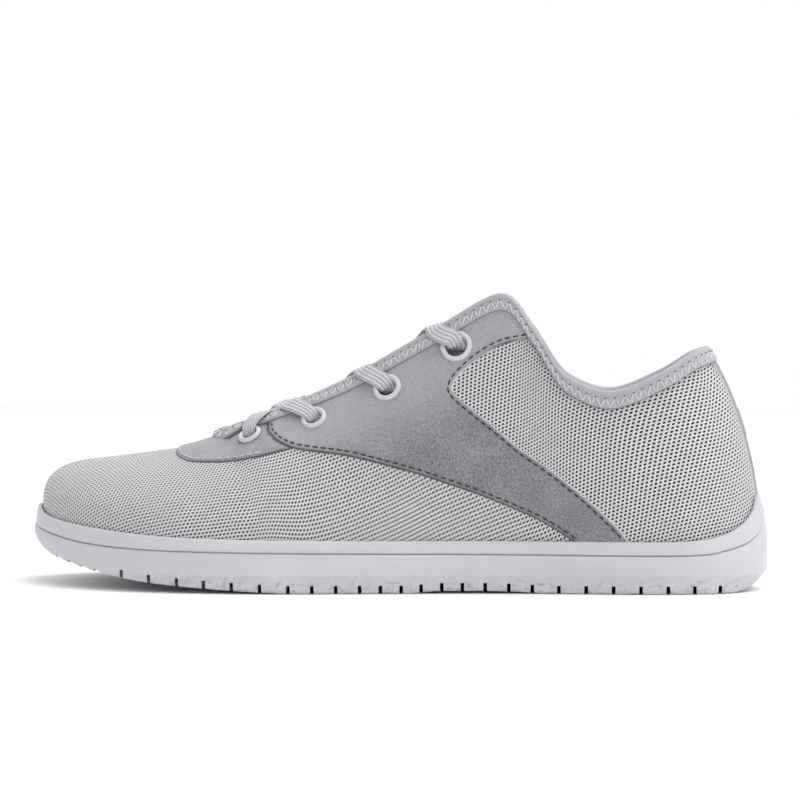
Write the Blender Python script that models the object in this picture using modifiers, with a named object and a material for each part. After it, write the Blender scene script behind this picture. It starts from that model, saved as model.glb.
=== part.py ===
"""Barefoot shoe for the left foot, standing empty on its sole.

The toe points to -X and the heel to +X, the outer side of the foot faces -Y, and +Z is up.
The origin is at the middle of the sole's length and width, on the floor.
"""

import bmesh
import bpy
import numpy as np
from mathutils import Matrix, Vector

# Overall sizes, in metres
LENGTH = 0.270
BALL_WIDTH = 0.100
HEEL_WIDTH = 0.068
TOE_HEIGHT = 0.0453
INSTEP_HEIGHT = 0.0540
TIP_HEIGHT = 0.1058
COLLAR_HEIGHT = 0.0712
HEEL_HEIGHT = 0.0868
COLLAR_WIDTH = 0.054

# Sole
FLOOR_THICKNESS = 0.0055
RIM_HEIGHT = 0.0184
GROOVE_HEIGHT = 0.0141
TOE_SPRING = 0.0165
ARCH_RISE = 0.0009
RIM_LIP = 0.0017
SOLE_WALL = 0.0040
GROOVE_DEPTH = 0.0010
EDGE_TUCK = 0.0015
EDGE_HEIGHT = 0.0020
LUG_DEPTH = 0.0030
SLIT_WIDTH = 0.0014

# Sheets
UPPER_WALL = 0.0020
OVERLAY_THICKNESS = 0.0011
INSOLE_THICKNESS = 0.0030
TONGUE_THICKNESS = 0.0030
TONGUE_CROWN = 0.0020
CROWN_OPENING = 1 / 3
BACKSTAY_HALF_TURN = 0.5
BINDING_WIDTH = 0.0055
BINDING_THICKNESS = 0.0010

# Eyelets and lace
EYELET_WALL = 0.0007
FLANGE_THICKNESS = 0.0010
LACE_WIDTH = 0.0065
LACE_THICKNESS = 0.0012

# Clearance between pieces that touch; of the lace over the tape, of the tape's outer and inner leg,
# of the tongue below it and of the flat flanges on the curved suede
GAP = 0.0003
LACE_GAP = 0.0009
TAPE_GAP = 0.0006
FOLD_GAP = 0.0009
TONGUE_GAP = 0.0007
FLANGE_GAP = 0.0007


def mix(first, second, share):
    return first + (second - first) * share


# Sections of the upper, from the toe tip round one side to the middle of the heel.
# foot: where the wall meets the sole's floor, along as a share of LENGTH, lateral and medial
#   as shares of the sole's width there, counted from the middle line.
# top: ridge, throat edge or collar edge, along as a share of LENGTH, middle as a share of
#   BALL_WIDTH, half gap as a share of COLLAR_WIDTH, and its height.
# swell of the wall: flare and reach push it outward low and high, as shares of BALL_WIDTH,
#   rise and drop tell how far up and down they act, as shares of the section's height.
# sole: thickness of the side wall as a share of SOLE_WALL.
SECTION_COLUMNS = (
    "foot", "lateral", "medial", "top", "middle", "half_gap", "height",
    "flare", "rise", "reach", "drop", "sole",
)
SECTIONS = (
    (
        -0.485, -0.120, 0.120, -0.415, 0.100, 0.000, TOE_HEIGHT,
        0.035, 0.63, 0.19, 0.00, 0.72,
    ),
    (
        -0.473, 0.030, 0.260, -0.409, 0.099, 0.000, 1.004 * TOE_HEIGHT,
        0.045, 0.63, 0.20, 0.00, 0.76,
    ),
    (
        -0.437, 0.185, 0.356, -0.393, 0.095, 0.000, 1.016 * TOE_HEIGHT,
        0.060, 0.62, 0.22, 0.00, 0.86,
    ),
    (
        -0.381, 0.318, 0.414, -0.367, 0.085, 0.000, 1.036 * TOE_HEIGHT,
        0.075, 0.62, 0.25, 0.00, 0.95,
    ),
    (
        -0.311, 0.404, 0.433, -0.330, 0.070, 0.000, 1.066 * TOE_HEIGHT,
        0.080, 0.61, 0.27, 0.00, 1.00,
    ),
    (
        -0.244, 0.438, 0.441, -0.287, 0.052, 0.000, mix(TOE_HEIGHT, INSTEP_HEIGHT, 0.56),
        0.085, 0.60, 0.265, 0.01, 1.00,
    ),
    (
        -0.185, 0.443, 0.437, -0.241, 0.035, 0.000, INSTEP_HEIGHT,
        0.085, 0.58, 0.24, 0.03, 1.00,
    ),
    (
        -0.156, 0.441, 0.432, -0.219, 0.029, 0.125, mix(INSTEP_HEIGHT, TIP_HEIGHT, 0.040),
        0.082, 0.565, 0.186, 0.05, 1.00,
    ),
    (
        -0.111, 0.443, 0.428, -0.187, 0.022, 0.204, mix(INSTEP_HEIGHT, TIP_HEIGHT, 0.106),
        0.078, 0.545, 0.160, 0.08, 1.00,
    ),
    (
        -0.015, 0.472, 0.442, -0.074, 0.008, 0.250, mix(INSTEP_HEIGHT, TIP_HEIGHT, 0.365),
        0.062, 0.48, 0.13, 0.16, 1.00,
    ),
    (
        0.096, 0.479, 0.453, 0.052, 0.000, 0.287, mix(INSTEP_HEIGHT, TIP_HEIGHT, 0.741),
        0.050, 0.44, 0.10, 0.20, 1.00,
    ),
    (
        0.170, 0.453, 0.431, 0.144, 0.000, 0.324, TIP_HEIGHT,
        0.045, 0.42, 0.075, 0.24, 1.00,
    ),
    (
        0.211, 0.444, 0.426, 0.185, 0.000, 0.389, mix(COLLAR_HEIGHT, TIP_HEIGHT, 0.667),
        0.042, 0.42, 0.060, 0.26, 1.00,
    ),
    (
        0.263, 0.435, 0.426, 0.233, 0.000, 0.472, mix(COLLAR_HEIGHT, TIP_HEIGHT, 0.153),
        0.045, 0.43, 0.040, 0.30, 1.00,
    ),
    (
        0.326, 0.426, 0.424, 0.289, 0.000, 0.500, COLLAR_HEIGHT,
        0.055, 0.43, 0.030, 0.32, 1.00,
    ),
    (
        0.396, 0.382, 0.382, 0.357, 0.000, 0.417, mix(COLLAR_HEIGHT, HEEL_HEIGHT, 0.430),
        0.055, 0.40, 0.050, 0.24, 1.05,
    ),
    (
        0.450, 0.253, 0.253, 0.402, 0.000, 0.222, mix(COLLAR_HEIGHT, HEEL_HEIGHT, 0.910),
        0.050, 0.37, 0.080, 0.16, 1.10,
    ),
    (
        0.4785, 0.000, 0.000, 0.417, 0.000, 0.000, HEEL_HEIGHT,
        0.048, 0.357, 0.094, 0.134, 1.12,
    ),
)
LAST = len(SECTIONS) - 1
AROUND = 2 * LAST
THROAT_START = 6
TIP_ROW = 11

# Sections behind the throat's start over which the ridge's slope leaves the wall, and where
# the binding, the tongue, the quarters and the saddle begin and end, in sections
RIDGE_FADE = 2
BINDING_START = THROAT_START + 0.6
TONGUE_START = THROAT_START - 0.6
TONGUE_END = TIP_ROW - 0.2
QUARTER_END = LAST - 2
SADDLE_START = THROAT_START - 2.1
SADDLE_END = THROAT_START + 3.1

# Grid steps in each interval between sections: finer round the toe, the throat and the heel
STEPS = (3, 3, 3, 2, 2, 2, 3, 3, 2, 2, 2, 2, 2, 2, 2, 3, 3)
STEPS_UP = 5

# Heights of the sole's lines along the shoe: share of LENGTH, share of the named height
RIM_LINE = (
    (-0.489, 1.57), (-0.481, 1.46), (-0.455, 1.32), (-0.390, 1.19), (-0.330, 1.10), (-0.275, 1.05),
    (-0.140, 1.01), (0.000, 1.00), (0.370, 1.00), (0.410, 1.03), (0.436, 1.11), (0.463, 1.32),
    (0.478, 1.52), (0.487, 1.71),
)
GROOVE_LINE = (
    (-0.489, 1.63), (-0.481, 1.50), (-0.455, 1.36), (-0.390, 1.16), (-0.330, 1.08), (-0.275, 1.05),
    (-0.140, 1.02), (0.000, 1.00), (0.370, 0.97), (0.410, 0.99), (0.436, 1.08), (0.463, 1.26),
    (0.478, 1.43), (0.487, 1.72),
)
TOE_LINE = (
    (-0.500, 1.00), (-0.484, 0.85), (-0.457, 0.65), (-0.422, 0.50), (-0.390, 0.39), (-0.358, 0.30),
    (-0.328, 0.225), (-0.272, 0.14), (-0.193, 0.055), (-0.120, 0.00),
)
ARCH_LINE = ((0.020, 0.00), (0.070, 1.00), (0.120, 1.00), (0.170, 0.70), (0.210, 0.00))
HEEL_LINE = ((0.450, 0.00), (0.470, 0.06), (0.485, 0.18), (0.495, 0.31), (0.500, 0.38))

# Slits between the lugs, from toe to heel, as shares of LENGTH
TOE_SLITS = (-0.452, -0.432, -0.413, -0.393)
LUG_SLITS = (
    -0.353, -0.315, -0.277, -0.241, -0.204, -0.167, -0.130, -0.099, -0.068, -0.037, -0.010, 0.017,
    0.043, 0.070, 0.097, 0.127, 0.158, 0.189, 0.224, 0.260, 0.296, 0.332, 0.368, 0.403, 0.437,
)

# Outlines of the overlays seen from the side: share of LENGTH, share of TIP_HEIGHT
SADDLE_FRONT = ((-0.303, 0.600), (-0.300, 0.474), (-0.294, 0.447), (-0.285, 0.436), (-0.270, 0.428))
SADDLE_LOW = ((-0.240, 0.428), (-0.211, 0.433), (-0.175, 0.451), (-0.149, 0.469))
QUARTER_FRONT = ((-0.172, 0.700), (-0.168, 0.550), (-0.161, 0.518), (-0.149, 0.497), (-0.129, 0.479))
QUARTER_LOW = (
    (-0.104, 0.470), (-0.050, 0.453), (0.027, 0.405), (0.053, 0.385), (0.100, 0.346), (0.134, 0.314),
    (0.167, 0.279), (0.201, 0.240), (0.241, 0.176), (0.262, 0.120),
)
QUARTER_REAR = (
    (0.330, 0.120), (0.316, 0.177), (0.301, 0.224), (0.276, 0.285), (0.251, 0.340), (0.210, 0.421),
    (0.173, 0.484), (0.141, 0.552), (0.107, 0.619), (0.084, 0.670), (0.082, 0.700), (0.091, 0.735),
    (0.114, 0.789), (0.143, 0.833), (0.174, 0.853), (0.200, 0.860),
)
QUARTER_TOP = ((0.200, 1.100), (-0.172, 1.100))

# Eyelets from the front pair up: place in sections, distance from the edge, radius, hole radius
EYELETS = (
    (7.74, 0.0088, 0.0045, 0.0024),
    (8.70, 0.0100, 0.0049, 0.0026),
    (9.50, 0.0105, 0.0055, 0.0030),
    (10.22, 0.0110, 0.0062, 0.0034),
)
ROUND_STEPS = 12

# Where the lace meets the edge, in sections past an eyelet, and how far over the tape it ends,
# as a share of the tape's width
LACE_SHIFT = 0.15
LACE_END = 0.6

# Colours of the materials, with roughness
FINISHES = {
    "knit": ((0.46, 0.47, 0.49), 0.9),
    "suede": ((0.30, 0.31, 0.33), 0.95),
    "rubber": ((0.52, 0.54, 0.56), 0.7),
    "elastic": ((0.56, 0.57, 0.59), 0.9),
    "lining": ((0.40, 0.41, 0.43), 0.95),
    "foam": ((0.34, 0.35, 0.37), 0.95),
    "eyelet": ((0.72, 0.73, 0.74), 0.4),
    "lace": ((0.58, 0.59, 0.61), 0.9),
}


def smooth_curve(places, values, at):
    """Cubic through the values that never overshoots them, held level beyond both ends."""
    places = np.asarray(places, float)
    values = np.asarray(values, float)
    step = np.diff(places)
    climb = np.diff(values) / step
    before, after = climb[:-1], climb[1:]
    same_way = before * after > 0
    slope = np.zeros(len(places))
    inner = slope[1:-1]
    inner[same_way] = 2 * before[same_way] * after[same_way] / (before + after)[same_way]
    at = np.clip(at, places[0], places[-1])
    low = np.clip(np.searchsorted(places, at, side="right") - 1, 0, len(step) - 1)
    t = (at - places[low]) / step[low]
    start, end = values[low], values[low + 1]
    lean_in, lean_out = slope[low] * step[low], slope[low + 1] * step[low]
    rise = end - start
    square = 3 * rise - 2 * lean_in - lean_out
    cube = lean_in + lean_out - 2 * rise
    return start + t * (lean_in + t * (square + t * cube))


def line_height(line, named_height, x):
    along, share = zip(*line)
    return named_height * smooth_curve(along, share, np.asarray(x) / LENGTH)


def bottom_height(x):
    """Underside of the sole: toe spring, arch and rounded heel around two level spots."""
    toe = line_height(TOE_LINE, TOE_SPRING, x)
    arch = line_height(ARCH_LINE, ARCH_RISE, x)
    heel = line_height(HEEL_LINE, TOE_SPRING, x)
    return toe + arch + heel


def floor_height(x):
    return bottom_height(x) + FLOOR_THICKNESS


def rim_height(x):
    return line_height(RIM_LINE, RIM_HEIGHT, x)


def groove_height(x):
    return line_height(GROOVE_LINE, GROOVE_HEIGHT, x)


def sole_width(along):
    """Width that the foot's shares refer to: the ball's in front, the heel's behind."""
    t = np.clip((0.10 - along) / 0.28, 0, 1)
    return mix(HEEL_WIDTH, BALL_WIDTH, t * t * (3 - 2 * t))


def around(column):
    """One column of the sections as a loop: outer side toe to heel, then inner side back."""
    rows = np.array([row[SECTION_COLUMNS.index(column)] for row in SECTIONS])
    return np.concatenate((rows, rows[-2:0:-1]))


def foot_out_loop():
    width = sole_width(around("foot"))
    lateral = -around("lateral")[: LAST + 1]
    medial = around("medial")[LAST + 1:]
    return np.concatenate((lateral, medial)) * width


def half_gap_loop():
    gap = around("half_gap") * COLLAR_WIDTH
    gap[: LAST + 1] *= -1
    return gap


LOOPS = {
    "foot_x": around("foot") * LENGTH,
    "foot_y": foot_out_loop(),
    "top_x": around("top") * LENGTH,
    "middle": around("middle") * BALL_WIDTH,
    "gap": half_gap_loop(),
    "top_z": around("height"),
    "flare": around("flare") * BALL_WIDTH,
    "rise": around("rise"),
    "reach": around("reach") * BALL_WIDTH,
    "drop": around("drop"),
    "sole": around("sole") * SOLE_WALL,
}


def loop_value(name, place):
    """A section value at any place round the shoe, counted in sections from the toe tip."""
    values = LOOPS[name]
    wrapped = np.concatenate((values[-2:], values, values[:3]))
    return smooth_curve(np.arange(-2, AROUND + 3), wrapped, np.mod(place, AROUND))


def outward(place):
    """Plan direction square to the foot line."""
    step = 0.02
    dx = loop_value("foot_x", place + step) - loop_value("foot_x", place - step)
    dy = loop_value("foot_y", place + step) - loop_value("foot_y", place - step)
    size = np.hypot(dx, dy)
    return dy / size, -dx / size


def from_toe(place):
    """Place counted from the toe tip on either side, so both sides share it."""
    place = np.mod(place, AROUND)
    return np.minimum(place, AROUND - place)


def ridge_run(place):
    """Direction of the ridge, toward the heel, at a place in front of the throat."""
    near = from_toe(place)
    return [loop_value(name, near + 0.05) - loop_value(name, near) for name in ("top_x", "middle", "top_z")]


def surface(place, share):
    """Point on the outside of the upper: share 0 at the sole's floor, 1 at the top edge."""
    place, share = np.broadcast_arrays(np.asarray(place, float), np.asarray(share, float))
    foot_x, foot_y = loop_value("foot_x", place), loop_value("foot_y", place)
    foot_z = floor_height(foot_x) + GAP
    top_x = loop_value("top_x", place)
    top_y = loop_value("middle", place) + loop_value("gap", place)
    top_z = loop_value("top_z", place)
    out_x, out_y = outward(place)
    flare, reach = loop_value("flare", place), loop_value("reach", place)
    tall = top_z - foot_z
    run_x, _, run_z = ridge_run(place)
    on_ridge = np.clip((THROAT_START + RIDGE_FADE - from_toe(place)) / RIDGE_FADE, 0, 1)
    on_ridge = on_ridge**2 * (3 - 2 * on_ridge)
    ridge_slope = on_ridge * run_z / np.where(run_x > 1e-9, run_x, 1)
    low = (foot_x + flare * out_x, foot_y + flare * out_y, foot_z + loop_value("rise", place) * tall)
    high_z = top_z - loop_value("drop", place) * tall + reach * out_x * ridge_slope
    high = (top_x + reach * out_x, top_y + reach * out_y, high_z)
    ends = ((foot_x, foot_y, foot_z), low, high, (top_x, top_y, top_z))
    rest = 1 - share
    weights = (rest**3, 3 * rest**2 * share, 3 * rest * share**2, share**3)
    return np.stack([sum(w * end[k] for w, end in zip(weights, ends)) for k in range(3)], axis=-1)


def unit(vectors):
    return vectors / np.linalg.norm(vectors, axis=-1, keepdims=True)


def upward(place, share):
    """Direction up the wall."""
    step = 0.01
    return unit(surface(place, np.minimum(share + step, 1)) - surface(place, np.maximum(share - step, 0)))


def surface_normal(place, share):
    place, share = np.broadcast_arrays(np.asarray(place, float), np.asarray(share, float))
    step = 0.02
    across = surface(place + step, share) - surface(place - step, share)
    normal = np.cross(across, upward(place, share))
    ridge = np.stack(ridge_run(place), axis=-1)
    ridge = ridge / np.maximum(np.linalg.norm(ridge, axis=-1, keepdims=True), 1e-12)
    ridge_normal = np.array([0, 0, 1.0]) - ridge * ridge[..., 2:3]
    at_ridge = (share > 0.9999) & (from_toe(place) < THROAT_START + 1e-6)
    return unit(np.where(at_ridge[..., None], ridge_normal, normal))


def shell_point(place, share, offset):
    """Point at a distance outside (or, negative, inside) the upper's outer face."""
    return surface(place, share) + offset * surface_normal(place, share)


def find_share(is_below, place):
    """Share where a condition that holds low on the wall stops holding."""
    low, high = np.zeros_like(place), np.ones_like(place)
    for _ in range(30):
        middle = (low + high) / 2
        below = is_below(middle)
        low, high = np.where(below, middle, low), np.where(below, high, middle)
    return low


def rim_share(place, above=0.0):
    height = rim_height(loop_value("foot_x", place)) + above
    return find_share(lambda share: surface(place, share)[..., 2] < height, place)


def edge_share(place, distance):
    """Share at a distance down the wall from the top edge."""
    top = surface(place, 1.0)
    return find_share(
        lambda share: np.linalg.norm(surface(place, share) - top, axis=-1) > distance, place
    )


def side_places():
    """Grid places from the toe tip to the heel on one side."""
    places = [i + k / steps for i, steps in enumerate(STEPS) for k in range(steps)]
    return np.array(places + [LAST])


def all_places():
    side = side_places()
    return np.concatenate((side, AROUND - side[-2:0:-1]))


def wall_shares(place):
    """Grid rows up the wall: two below the sole's rim, the rest up to the binding and the edge."""
    rim, band = rim_share(place), edge_share(place, BINDING_WIDTH)
    rows = [0 * rim, rim / 2, rim]
    rows += [mix(rim, band, k / STEPS_UP) for k in range(1, STEPS_UP + 1)]
    rows.append(np.ones_like(rim))
    return np.stack(rows, axis=-1)


def collection(name):
    made = bpy.data.collections.new(name)
    bpy.context.scene.collection.children.link(made)
    return made


def material(name):
    colour, roughness = FINISHES[name]
    made = bpy.data.materials.get(name) or bpy.data.materials.new(name)
    made.use_nodes = True
    shader = made.node_tree.nodes["Principled BSDF"]
    shader.inputs["Base Color"].default_value = (*colour, 1)
    shader.inputs["Roughness"].default_value = roughness
    shader.inputs["Metallic"].default_value = 0
    return made


def add_object(name, mesh, finish):
    made = bpy.data.objects.new(name, mesh)
    mesh.materials.append(material(finish))
    SHOE.objects.link(made)
    return made


def add_cutter(name, mesh):
    made = bpy.data.objects.new(name, mesh)
    made.hide_render = True
    made.display_type = "WIRE"
    CUTTERS.objects.link(made)
    return made


def mesh_from_faces(name, points, faces):
    """Mesh whose equal points are one vertex, without faces that shrink to a line."""
    index, vertices, renumber = {}, [], []
    for point in points:
        key = tuple(round(float(value), 7) for value in point)
        if key not in index:
            index[key] = len(vertices)
            vertices.append(key)
        renumber.append(index[key])
    kept = []
    for face in faces:
        corners = []
        for corner in face:
            if renumber[corner] not in corners:
                corners.append(renumber[corner])
        if len(corners) > 2:
            kept.append(corners)
    mesh = bpy.data.meshes.new(name)
    mesh.from_pydata(vertices, [], kept)
    mesh.validate()
    return mesh


def grid_faces(rows, columns, loop_rows=False, loop_columns=False):
    """Triangles of a grid whose points are counted row by row, all split the same way.

    Sheets over the same places then lie parallel, facet by facet.
    """
    faces = []
    for i in range(rows if loop_rows else rows - 1):
        for j in range(columns if loop_columns else columns - 1):
            i_next, j_next = (i + 1) % rows, (j + 1) % columns
            corners = ((i, j), (i_next, j), (i_next, j_next), (i, j_next))
            a, b, c, d = (row * columns + column for row, column in corners)
            faces += [[a, b, c], [a, c, d]]
    return faces


def sheet_mesh(name, grid, loop_rows=False):
    rows, columns = grid.shape[:2]
    return mesh_from_faces(name, grid.reshape(-1, 3), grid_faces(rows, columns, loop_rows))


def tube_mesh(name, grid, loop_rows=False):
    """Closed body through rows of closed sections, with flat ends unless the rows form a loop."""
    rows, columns = grid.shape[:2]
    faces = grid_faces(rows, columns, loop_rows, True)
    if not loop_rows:
        faces.append(list(range(columns)))
        faces.append([(rows - 1) * columns + k for k in reversed(range(columns))])
    return mesh_from_faces(name, grid.reshape(-1, 3), faces)


def face_outward(mesh):
    work = bmesh.new()
    work.from_mesh(mesh)
    bmesh.ops.recalc_face_normals(work, faces=work.faces)
    work.to_mesh(mesh)
    work.free()


def thicken(piece, thickness, outer):
    """Wall on an open sheet, grown outward or inward."""
    wall = piece.modifiers.new("wall", "SOLIDIFY")
    wall.thickness = thickness
    wall.offset = 1 if outer else -1
    wall.use_even_offset = True
    wall.use_quality_normals = True


def boolean(piece, cutter, operation):
    cut = piece.modifiers.new(operation.lower(), "BOOLEAN")
    cut.operation = operation
    cut.object = cutter
    cut.solver = "EXACT"


def smooth(piece, degrees=35):
    piece.data.shade_smooth()
    piece.data.set_sharp_from_angle(angle=np.radians(degrees))


def prism_mesh(name, outline, y_from, y_to):
    """Straight block with the given outline in the XZ plane."""
    count = len(outline)
    points = [(x, y_from, z) for x, z in outline] + [(x, y_to, z) for x, z in outline]
    faces = [list(range(count)), [count + k for k in reversed(range(count))]]
    faces += [[k, count + k, count + (k + 1) % count, (k + 1) % count] for k in range(count)]
    mesh = mesh_from_faces(name, points, faces)
    face_outward(mesh)
    return mesh


def join_meshes(name, meshes):
    work = bmesh.new()
    for mesh in meshes:
        work.from_mesh(mesh)
        bpy.data.meshes.remove(mesh)
    joined = bpy.data.meshes.new(name)
    work.to_mesh(joined)
    work.free()
    return joined


def build_upper(places, shares):
    grid = surface(places[:, None], shares)
    upper = add_object("upper", sheet_mesh("upper", grid, loop_rows=True), "knit")
    thicken(upper, UPPER_WALL, outer=False)
    smooth(upper)
    return upper


def sole_section(place):
    """Outline of the sole's side wall at each place, from the floor inside over the rim and down."""
    rim = rim_share(place)
    inner = [shell_point(place, share, GAP) for share in (0 * rim, rim / 2, rim)]
    inner[0][:, 2] = floor_height(inner[0][:, 0])
    rim_x, rim_y = inner[2][:, 0], inner[2][:, 1]
    out_x, out_y = outward(place)
    wall = loop_value("sole", place)
    rim_z = inner[2][:, 2]
    foot_x = loop_value("foot_x", place)
    groove_z = groove_height(foot_x)

    def outer(distance, z):
        return np.stack((rim_x + distance * out_x, rim_y + distance * out_y, z), axis=-1)

    base = bottom_height(rim_x + wall * out_x)
    tuck_base = bottom_height(rim_x + (wall - EDGE_TUCK) * out_x)
    band = mix(RIM_LIP, wall, 0.55)
    return inner + [
        outer(RIM_LIP, rim_z - 0.3 * RIM_LIP),
        outer(band, mix(groove_z, rim_z, 0.5)),
        outer(band - 0.2 * GROOVE_DEPTH, groove_z + 0.6 * GROOVE_DEPTH),
        outer(band - GROOVE_DEPTH, groove_z),
        outer(band, groove_z - 0.6 * GROOVE_DEPTH),
        outer(wall, mix(base, groove_z, 0.55)),
        outer(wall - 0.1 * EDGE_TUCK, base + EDGE_HEIGHT),
        outer(wall - EDGE_TUCK, tuck_base),
    ]


def build_outsole(places):
    """Ring of wall sections, closed by a ladder of faces across the floor and the underside."""
    sections = np.stack(sole_section(places), axis=1)
    rows, columns = sections.shape[:2]
    faces = [face[::-1] for face in grid_faces(rows, columns, loop_rows=True)]
    half = rows // 2
    for i in range(half):
        near, near_next = i, i + 1
        far, far_next = (rows - i) % rows, (rows - i - 1) % rows
        loop = (near, near_next, far_next, far)
        faces.append([row * columns for row in loop])
        faces.append([row * columns + columns - 1 for row in reversed(loop)])
    mesh = mesh_from_faces("outsole", sections.reshape(-1, 3), faces)
    face_outward(mesh)
    outsole = add_object("outsole", mesh, "rubber")
    boolean(outsole, slit_cutter(), "DIFFERENCE")
    smooth(outsole)
    return outsole


def slit_cutter():
    """Cross slits that part the lugs, shallower under the toe."""
    slits = []
    for name, row, depth in (("toe", TOE_SLITS, 0.6 * LUG_DEPTH), ("lug", LUG_SLITS, LUG_DEPTH)):
        for share in row:
            x = share * LENGTH
            top = float(bottom_height(x)) + depth
            half = SLIT_WIDTH / 2
            low = -FLOOR_THICKNESS
            outline = ((x - half, low), (x + half, low), (x + half, top), (x - half, top))
            slits.append(prism_mesh(name, outline, -BALL_WIDTH, BALL_WIDTH))
    return add_cutter("lug_slits", join_meshes("lug_slits", slits))


def build_insole(places):
    """Flat sheet inside the upper's wall, resting on the sole's floor."""
    side = len(side_places())
    inset = UPPER_WALL + 2 * GAP
    rim = shell_point(places, 0.0, -inset)
    rim[:, 2] = floor_height(rim[:, 0]) + GAP
    lateral = rim[:side]
    medial = np.concatenate((rim[:1], rim[:side - 2:-1]))
    grid = np.stack((lateral, medial), axis=1)
    insole = add_object("insole", sheet_mesh("insole", grid), "foam")
    thicken(insole, INSOLE_THICKNESS, outer=True)
    return insole


def tongue_grid(places, shares):
    """Sections of the tongue: under both sides of the throat, crowned in between."""
    under = UPPER_WALL + FOLD_GAP + BINDING_THICKNESS + TONGUE_GAP
    rows = []
    for place, share in zip(places, shares):
        sides = []
        for turn in (place, AROUND - place):
            sides.append(shell_point(np.full(3, turn), share[-3:], -under))
        lateral, medial = sides
        crown = [mix(lateral[-1], medial[-1], k / 4) for k in range(1, 4)]
        opening = abs(lateral[-1][1] - medial[-1][1]) / COLLAR_WIDTH
        lift = np.array([0, 0, TONGUE_CROWN]) * min(1, opening / CROWN_OPENING)
        crown = [point + lift * bow for point, bow in zip(crown, (0.75, 1.0, 0.75))]
        rows.append(np.vstack((lateral, crown, medial[::-1])))
    return np.array(rows)


def build_tongue():
    side = side_places()
    chosen = side[(side > TONGUE_START) & (side < TONGUE_END)]
    grid = tongue_grid(chosen, wall_shares(chosen))
    tongue = add_object("tongue", sheet_mesh("tongue", grid), "lining")
    thicken(tongue, TONGUE_THICKNESS, outer=False)
    smooth(tongue)
    return tongue


def side_runs(first, last):
    """Grid places between two sections, on the outer side and then on the inner side."""
    side = side_places()
    chosen = side[(side > first - 1e-6) & (side < last + 1e-6)]
    return chosen, AROUND - chosen[::-1]


def cover_shares(place):
    """Rows of a sheet on the upper: clear of the sole's rim below and of the binding above."""
    rows = wall_shares(place)
    rows[:, 2] = rim_share(place, above=GAP)
    closed = from_toe(place) < THROAT_START + 1e-6
    clear = edge_share(place, BINDING_WIDTH + GAP)
    rows[:, -2] = np.where(closed, rows[:, -2], clear)
    rows[:, -1] = np.where(closed, 1, clear)
    return rows[:, 2:]


def cover_mesh(name, runs):
    """Sheet one gap above the upper over some runs of grid places."""
    points, faces = [], []
    for places in runs:
        grid = shell_point(places[:, None], cover_shares(places), GAP)
        start = len(points)
        points += list(grid.reshape(-1, 3))
        faces += [[corner + start for corner in face] for face in grid_faces(*grid.shape[:2])]
    return mesh_from_faces(name, points, faces)


def side_outline(*parts):
    return [(x * LENGTH, z * TIP_HEIGHT) for part in parts for x, z in part]


def build_covers(holes):
    """Suede pieces on the upper, each cut from a sheet by its outline seen from the side."""
    lateral, medial = side_runs(BINDING_START, QUARTER_END)
    quarter = side_outline(QUARTER_FRONT, QUARTER_LOW, QUARTER_REAR, QUARTER_TOP)
    block = add_cutter("quarter_block", prism_mesh("quarter_block", quarter, -BALL_WIDTH, BALL_WIDTH))
    for name, places in (("quarter_overlay_lateral", lateral), ("quarter_overlay_medial", medial)):
        cover = add_object(name, cover_mesh(name, [places]), "suede")
        thicken(cover, OVERLAY_THICKNESS, outer=True)
        boolean(cover, block, "INTERSECT")
        boolean(cover, holes, "DIFFERENCE")
        smooth(cover)

    back = [(x - GAP, z) for x, z in side_outline(QUARTER_FRONT[::-1])]
    front = side_outline(SADDLE_FRONT, SADDLE_LOW)
    outline = front + [(x, z - GAP) for x, z in back[:2]] + back[2:]
    block = add_cutter("saddle_block", prism_mesh("saddle_block", outline, -BALL_WIDTH, BALL_WIDTH))
    sheet = cover_mesh("throat_saddle", side_runs(SADDLE_START, SADDLE_END))
    saddle = add_object("throat_saddle", sheet, "suede")
    thicken(saddle, OVERLAY_THICKNESS, outer=True)
    boolean(saddle, block, "INTERSECT")
    boolean(saddle, holes, "DIFFERENCE")
    smooth(saddle)


def build_backstay():
    side = side_places()
    turn = BACKSTAY_HALF_TURN
    inner = side[side > LAST - turn + 0.01]
    places = np.concatenate(([LAST - turn], inner, AROUND - inner[-2::-1], [LAST + turn]))
    backstay = add_object("backstay", cover_mesh("backstay", [places]), "suede")
    thicken(backstay, OVERLAY_THICKNESS, outer=True)
    smooth(backstay)


def build_binding():
    """Folded tape over the edge of the throat and collar, open in front where the throat closes."""
    side = side_places()
    lateral = side[side > BINDING_START]
    places = np.concatenate((lateral, AROUND - lateral[-2::-1]))
    band = edge_share(places, BINDING_WIDTH)
    top, up, normal = surface(places, 1.0), upward(places, 1.0), surface_normal(places, 1.0)
    outer, inner = TAPE_GAP + BINDING_THICKNESS, -UPPER_WALL - FOLD_GAP - BINDING_THICKNESS
    sections = np.stack((
        shell_point(places, band, TAPE_GAP),
        shell_point(places, band, outer),
        top + outer * normal,
        top + outer * up,
        top + outer * up + (inner + BINDING_THICKNESS) * normal,
        top + inner * normal,
        shell_point(places, band, inner),
        shell_point(places, band, inner + BINDING_THICKNESS),
        top + TAPE_GAP * up + (inner + BINDING_THICKNESS) * normal,
        top + TAPE_GAP * up + TAPE_GAP * normal,
    ), axis=1)
    mesh = tube_mesh("binding", sections)
    face_outward(mesh)
    binding = add_object("binding", mesh, "elastic")
    smooth(binding, 60)


def eyelet_frame(place, distance):
    """Turn and place of an eyelet: its Z axis stands on the upper's outer face."""
    place = np.array([float(place)])
    share = edge_share(place, distance)
    point, normal = surface(place, share)[0], surface_normal(place, share)[0]
    turn = Vector(normal).to_track_quat("Z", "Y").to_matrix().to_4x4()
    return Matrix.Translation(Vector(point)) @ turn


def both_sides(place):
    return (("lateral", place), ("medial", AROUND - place))


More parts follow.
